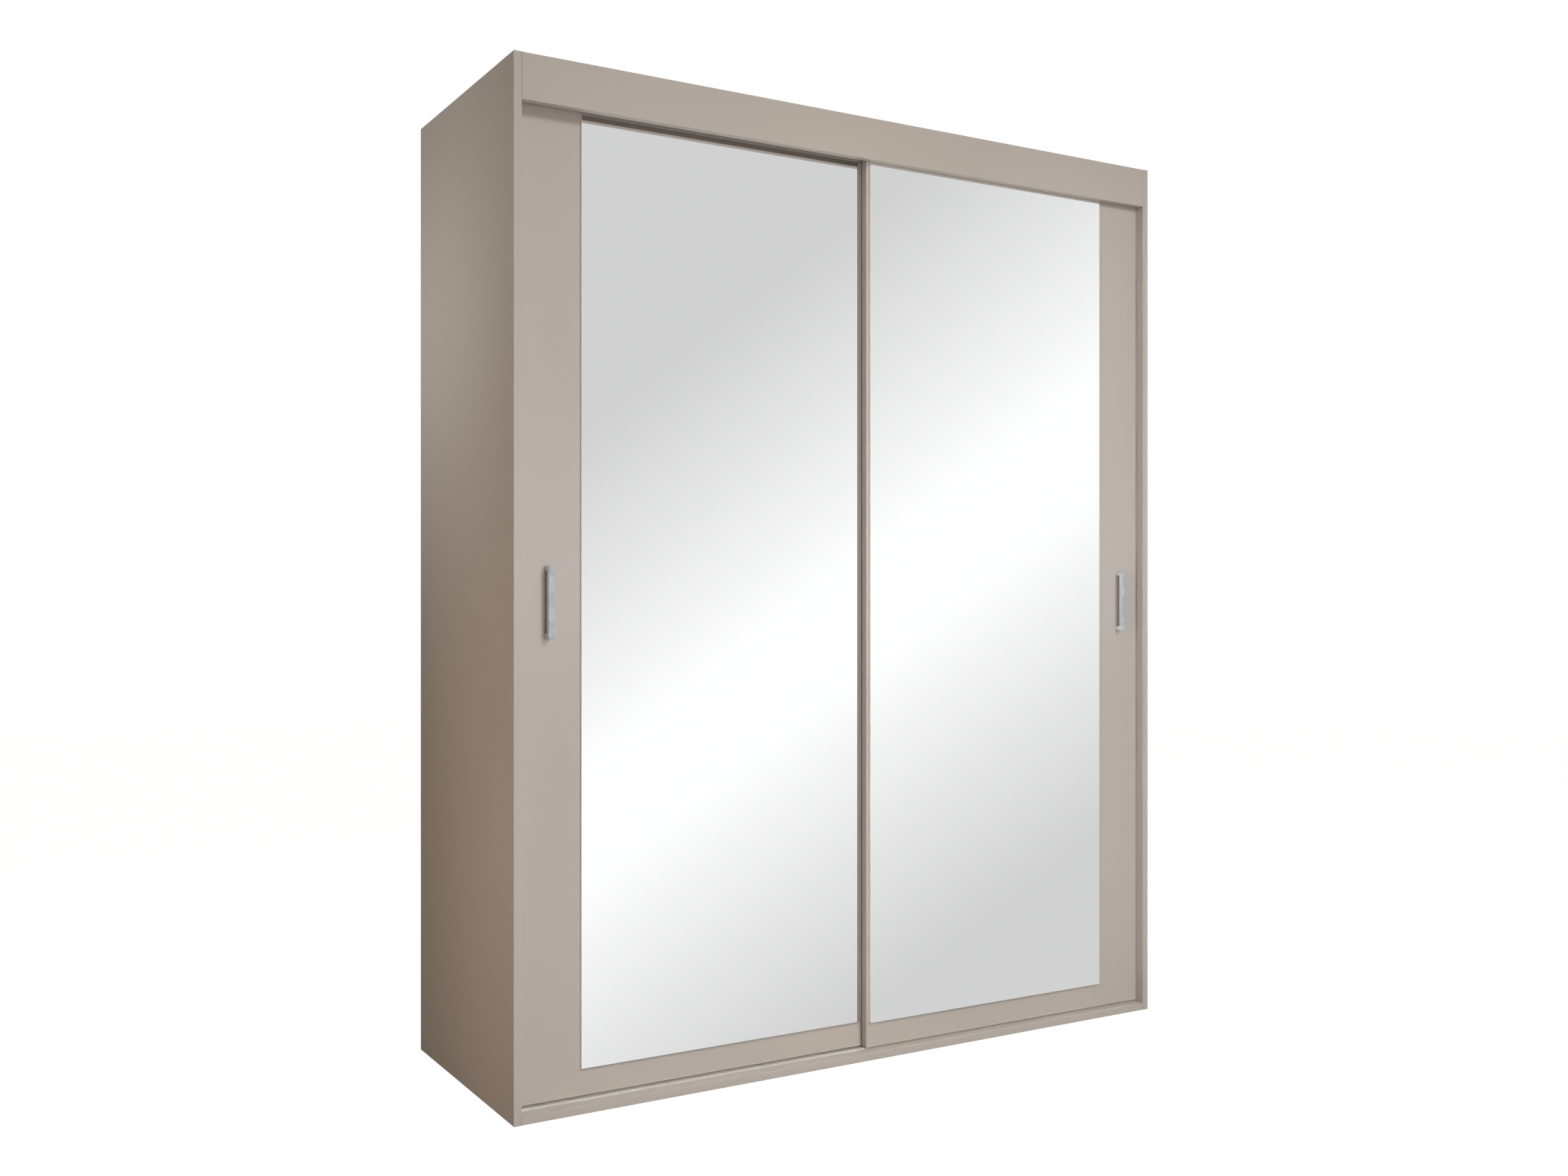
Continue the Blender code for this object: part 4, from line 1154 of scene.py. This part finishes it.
def make_guide(door, side, sunk):
    """Top guide: housing with bore and slot, plunger with thumb lug, and its coil spring."""
    base = f"{door}_door_guide_{side}"
    body = f"{door}_door"
    low, high = corners(f"{base}_housing")
    pin_low, pin_high = corners(f"{base}_plunger")
    plane = wheel_plane(door)
    x = (pin_low.x + pin_high.x) / 2
    housing = add_block(f"{base}_case", low, high)
    bore_top, bore_length = high.z + PAST, PLUNGER_BORE_DEPTH + PAST
    bore = add_rod("bore", (x, plane, bore_top - bore_length / 2), PLUNGER_BORE_RADIUS, bore_length, "Z", 32)
    lug_low = pin_low.z + LUG_RISE
    lug_high = lug_low + LUG_HEIGHT
    half_slot = HALF_LUG + LUG_PLAY
    slot = add_block(
        "slot", (x - half_slot, plane, lug_low - PLUNGER_TRAVEL - LUG_PLAY),
        (x + half_slot, high.y + PAST, lug_high + LUG_PLAY),
    )
    cut(housing, [bore, slot])
    soften(housing, 0.3 * MM)
    finish(housing, DARK_PLASTIC, body, "grey_plastic", f"{base}_housing")
    for label, out in (("left", -1), ("right", 1)):
        spot = (x + out * GUIDE_SCREW_OFFSET, high.y + 0.05 * MM, low.z + 7 * MM)
        set_screw(sunk, f"{base}_screw_{label}", spot, "Y", body)

    tall = pin_high.z - pin_low.z
    stations = [
        (PLUNGER_RADIUS - 0.4 * MM, 0.0), (PLUNGER_RADIUS, 0.4 * MM), (PLUNGER_RADIUS, tall - 1.4 * MM),
        (PLUNGER_RADIUS * 0.86, tall - 0.4 * MM), (PLUNGER_RADIUS * 0.5, tall),
    ]
    plunger = add_turned(f"{base}_pin", stations, (x, plane, pin_low.z), "Z", 40)
    lug = add_block("lug", (x - HALF_LUG, plane, lug_low), (x + HALF_LUG, pin_high.y, lug_high))
    soften(lug, 0.5 * MM)
    apply_modifier(plunger, "BOOLEAN", operation="UNION", object=lug, solver="EXACT")
    bpy.data.objects.remove(lug, do_unlink=True)
    finish(plunger, NYLON, f"{door}_{side}_plunger", "nylon", f"{base}_plunger")

    coil_low, coil_high = corners(f"{base}_spring")
    bpy.ops.object.select_all(action="DESELECT")
    bpy.ops.mesh.primitive_circle_add(
        vertices=10, radius=SPRING_WIRE, location=(SPRING_RADIUS, 0, SPRING_WIRE), rotation=(math.pi / 2, 0, 0)
    )
    coil = bpy.context.object
    coil.name = f"{base}_coil"
    bpy.ops.object.transform_apply(location=True, rotation=True, scale=True)
    steps = STEPS_A_TURN * SPRING_TURNS
    rise = coil_high.z - coil_low.z - 2 * SPRING_WIRE
    apply_modifier(
        coil, "SCREW", angle=2 * math.pi * SPRING_TURNS, screw_offset=rise, steps=steps, render_steps=steps,
        use_merge_vertices=True, merge_threshold=0.00005,
    )
    pick(coil, "EDGE", lambda edge: edge.is_boundary)
    bpy.ops.mesh.edge_face_add()
    bpy.ops.mesh.select_all(action="SELECT")
    bpy.ops.mesh.normals_make_consistent(inside=False)
    close_edit()
    turn_to_axis(coil, "Z", (x, plane, coil_low.z))
    finish(coil, ZINC, body, "steel", f"{base}_spring")
    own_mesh(coil)


def make_doors(screw, sunk):
    """Both doors with everything they carry."""
    for door in ("front", "rear"):
        body = f"{door}_door"
        board = f"{door}_door_board"
        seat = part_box(board)[1][1] - COUNTERBORE_DEPTH + CLEAR
        make_board(board, body, ["left", "right", "bottom", "top"], door_cutters(door))
        make_mirror(door)
        make_handle(door)
        for end in ("bottom", "top"):
            node = f"{door}_handle_screw_{end}"
            low, high = corners(node)
            spot = ((low.x + high.x) / 2, seat, (low.z + high.z) / 2)
            set_screw(screw, f"{node}_turned", spot, "Y", body, node)
        for side in ("left", "right"):
            make_roller(door, side, sunk)
            make_guide(door, side, sunk)


# ---------------------------------------------------------------- studio

CAMERA_TURN = math.radians(30.18)
ROOM_LIGHT = (0.130, 0.112, 0.095, 1)     # what the room gives to matt surfaces
WALL_GREY = (0.55, 0.55, 0.55, 1)         # the walls in front, seen in the mirrors and metal
FLOOR_BOUNCE = (0.10, 0.085, 0.065, 1)    # the light the floor gives back
CARD_FADE = 2.3                 # from the middle of the white band to even grey
CARD_TONES = [                  # distance from that middle, brightness
    (0.0, 1.07), (0.32, 1.064), (0.79, 0.957), (1.26, 0.858), (1.74, 0.765), (2.21, 0.680), (2.3, 0.680),
]


def make_camera():
    """Camera low in front of the left end, level, looking along the front."""
    data = bpy.data.cameras.new("camera")
    camera = bpy.data.objects.new("camera", data)
    bpy.context.scene.collection.objects.link(camera)
    camera.location = (-1.824, -2.944, 0.9898)
    camera.rotation_euler = (math.pi / 2, 0, -CAMERA_TURN)
    data.sensor_width = 36
    data.lens = 34.85
    data.shift_x = 0.01637
    data.shift_y = 0.00384
    data.clip_start = 0.05
    data.clip_end = 100
    bpy.context.scene.camera = camera


def make_floor():
    """A pale floor, lit so that it runs out of sight into the white backdrop."""
    bpy.ops.object.select_all(action="DESELECT")
    bpy.ops.mesh.primitive_circle_add(vertices=96, radius=9, fill_type="NGON", location=(0, 0, -0.0005))
    floor = bpy.context.object
    floor.name = "studio_floor"
    bpy.ops.object.transform_apply(location=True, rotation=True, scale=True)
    material = bpy.data.materials.new("studio_floor")
    w = bare_wiring(material)
    path = w.add("ShaderNodeLightPath").outputs["Is Camera Ray"]
    colour = w.blend(path, FLOOR_BOUNCE, (0.985, 0.985, 0.985, 1))
    glow = w.add("ShaderNodeEmission", {"Color": colour, "Strength": 1.0})
    matt = w.add("ShaderNodeBsdfDiffuse", {"Color": (0.10, 0.10, 0.10, 1)})
    both = w.add("ShaderNodeAddShader", {0: glow.outputs[0], 1: matt.outputs[0]})
    w.add("ShaderNodeOutputMaterial", {"Surface": both.outputs[0]})
    paint(floor, [material])
    floor.visible_glossy = False


def make_front_card():
    """The tall lit backdrop that the doors face: a slanting band of white on pale grey."""
    bpy.ops.object.select_all(action="DESELECT")
    bpy.ops.mesh.primitive_plane_add(size=1)
    card = bpy.context.object
    card.name = "front_card"
    card.scale = (24, 14, 1)
    bpy.ops.object.transform_apply(location=False, rotation=False, scale=True)
    card.location = (2.449, -4.908, 0.990)
    card.rotation_euler = (math.pi / 2, 0, CAMERA_TURN)
    material = bpy.data.materials.new("front_card")
    w = bare_wiring(material)
    point = w.add("ShaderNodeSeparateXYZ", {0: w.add("ShaderNodeTexCoord").outputs["Object"]}).outputs
    slant = w.maths("SUBTRACT", point["Y"], w.maths("MULTIPLY", point["X"], 0.774))
    distance = w.maths("ABSOLUTE", w.maths("ADD", slant, 0.567))
    ramp = w.add("ShaderNodeValToRGB", {"Fac": w.spread(distance, 0.0, CARD_FADE)})
    elements = ramp.color_ramp.elements
    for _ in range(len(CARD_TONES) - 2):
        elements.new(0.5)
    for element, (spot, value) in zip(elements, CARD_TONES):
        element.position = spot / CARD_FADE
        element.color = (value, value, value, 1)
    glow = w.add("ShaderNodeEmission", {"Color": ramp.outputs["Color"], "Strength": 1.0})
    w.add("ShaderNodeOutputMaterial", {"Surface": glow.outputs[0]})
    paint(card, [material])
    card.visible_camera = False
    card.visible_diffuse = False
    card.visible_shadow = False


def make_world():
    """White behind everything, pale grey walls for the mirrors, and a dim warm light all round."""
    world = bpy.data.worlds.new("studio")
    bpy.context.scene.world = world
    w = bare_wiring(world)
    path = w.add("ShaderNodeLightPath").outputs
    generated = w.add("ShaderNodeTexCoord").outputs["Generated"]
    direction = w.add("ShaderNodeSeparateXYZ", {0: generated}).outputs
    walls = w.blend(w.spread(direction["Y"], -0.2, 0.3), WALL_GREY, ROOM_LIGHT)
    room = w.blend(path["Is Glossy Ray"], ROOM_LIGHT, walls)
    colour = w.blend(path["Is Camera Ray"], room, (1, 1, 1, 1))
    backdrop = w.add("ShaderNodeBackground", {"Color": colour, "Strength": 1.0})
    w.add("ShaderNodeOutputWorld", {"Surface": backdrop.outputs[0]})


def add_area_light(name, spot, aim, size, spread, power, colour):
    """A soft rectangular light aimed at a point. The spread is in degrees."""
    data = bpy.data.lights.new(name, "AREA")
    data.shape = "RECTANGLE"
    data.size, data.size_y = size
    data.spread = math.radians(spread)
    data.energy = power
    data.color = colour
    light = bpy.data.objects.new(name, data)
    bpy.context.scene.collection.objects.link(light)
    light.location = spot
    light.rotation_euler = (Vector(aim) - Vector(spot)).to_track_quat("-Z", "Y").to_euler()
    light.visible_camera = False
    light.visible_glossy = False


# Each light's place, the point it is aimed at, its size, its spread in degrees, its power, its colour
LIGHTS = {
    "key": ((0.7, -4.6, 3.6), (0.0, -0.28, 1.0), (1.0, 0.9), 180, 96, (0.95, 0.98, 1.0)),
    "front": ((-0.8, -2.8, 1.3), (-0.4, -0.28, 1.2), (1.2, 0.9), 180, 16, (0.87, 0.93, 1.0)),
    "low": ((-0.4, -2.8, 0.4), (-0.1, -0.28, 0.3), (1.6, 0.5), 180, 12.5, (0.94, 0.955, 1.0)),
    "waist": ((0.15, -1.7, 1.1), (0.1, -0.28, 1.1), (2.0, 0.15), 80, 2.4, (0.84, 0.94, 1.0)),
    "track": ((0.0, -1.6, 2.2), (0.0, -0.30, 0.0), (2.0, 0.2), 25, 1.6, (0.92, 0.98, 1.0)),
    "inner": ((-0.3, -0.62, 1.0), (0.79, -0.27, 1.0), (0.06, 1.9), 25, 0.5, (0.81, 0.89, 1.0)),
    "middle": ((-1.0, -0.85, 1.0), (0.0, -0.25, 1.0), (0.1, 1.9), 18, 0.2, (1.0, 0.78, 0.60)),
    "under": ((0.0, -1.2, 0.15), (0.0, -0.27, 1.93), (1.6, 0.1), 20, 0.3, (1.0, 0.9, 0.8)),
    "left_front": ((-1.5, -0.25, 0.42), (-0.8, -0.25, 0.42), (0.06, 1.2), 180, 3.0, (1.0, 0.835, 0.69)),
    "left_back": ((-1.9, 0.4, 1.6), (-0.8, 0.15, 1.55), (0.5, 0.4), 70, 1.1, (0.90, 0.96, 1.0)),
    "left_top": ((-2.2, 0.0, 2.8), (-0.8, 0.0, 1.5), (0.8, 0.6), 120, 4.4, (1.0, 0.96, 0.90)),
    "right": ((2.8, -0.1, 1.7), (0.8, 0.0, 1.0), (1.0, 1.6), 120, 22, (1.0, 0.96, 0.92)),
    "behind": ((0.5, 3.2, 1.8), (0.0, 0.28, 1.0), (1.6, 1.6), 120, 55, (1.0, 0.97, 0.94)),
    "over": ((0.0, 0.3, 3.8), (0.0, 0.0, 2.0), (1.5, 1.0), 90, 14, (1.0, 0.98, 0.96)),
}


def make_studio():
    """Camera, floor, backdrop, world and lights."""
    make_camera()
    make_floor()
    make_front_card()
    make_world()
    bpy.context.scene.view_settings.view_transform = "Standard"
    for name, facts in LIGHTS.items():
        add_area_light(name, *facts)


def main():
    """Builds the looks, then the studio."""
    screw = cross_screw("screw_pattern", 3.9 * MM, 2.6 * MM, 16 * MM)
    sunk = sunk_screw("sunk_screw_pattern", 3.2 * MM, 9 * MM)
    make_carcass()
    make_back()
    make_tracks(sunk)
    make_rail()
    make_shelf_pins()
    make_cam_covers()
    make_doors(screw, sunk)
    for pattern in (screw, sunk):
        bpy.data.objects.remove(pattern, do_unlink=True)
    make_studio()


main()
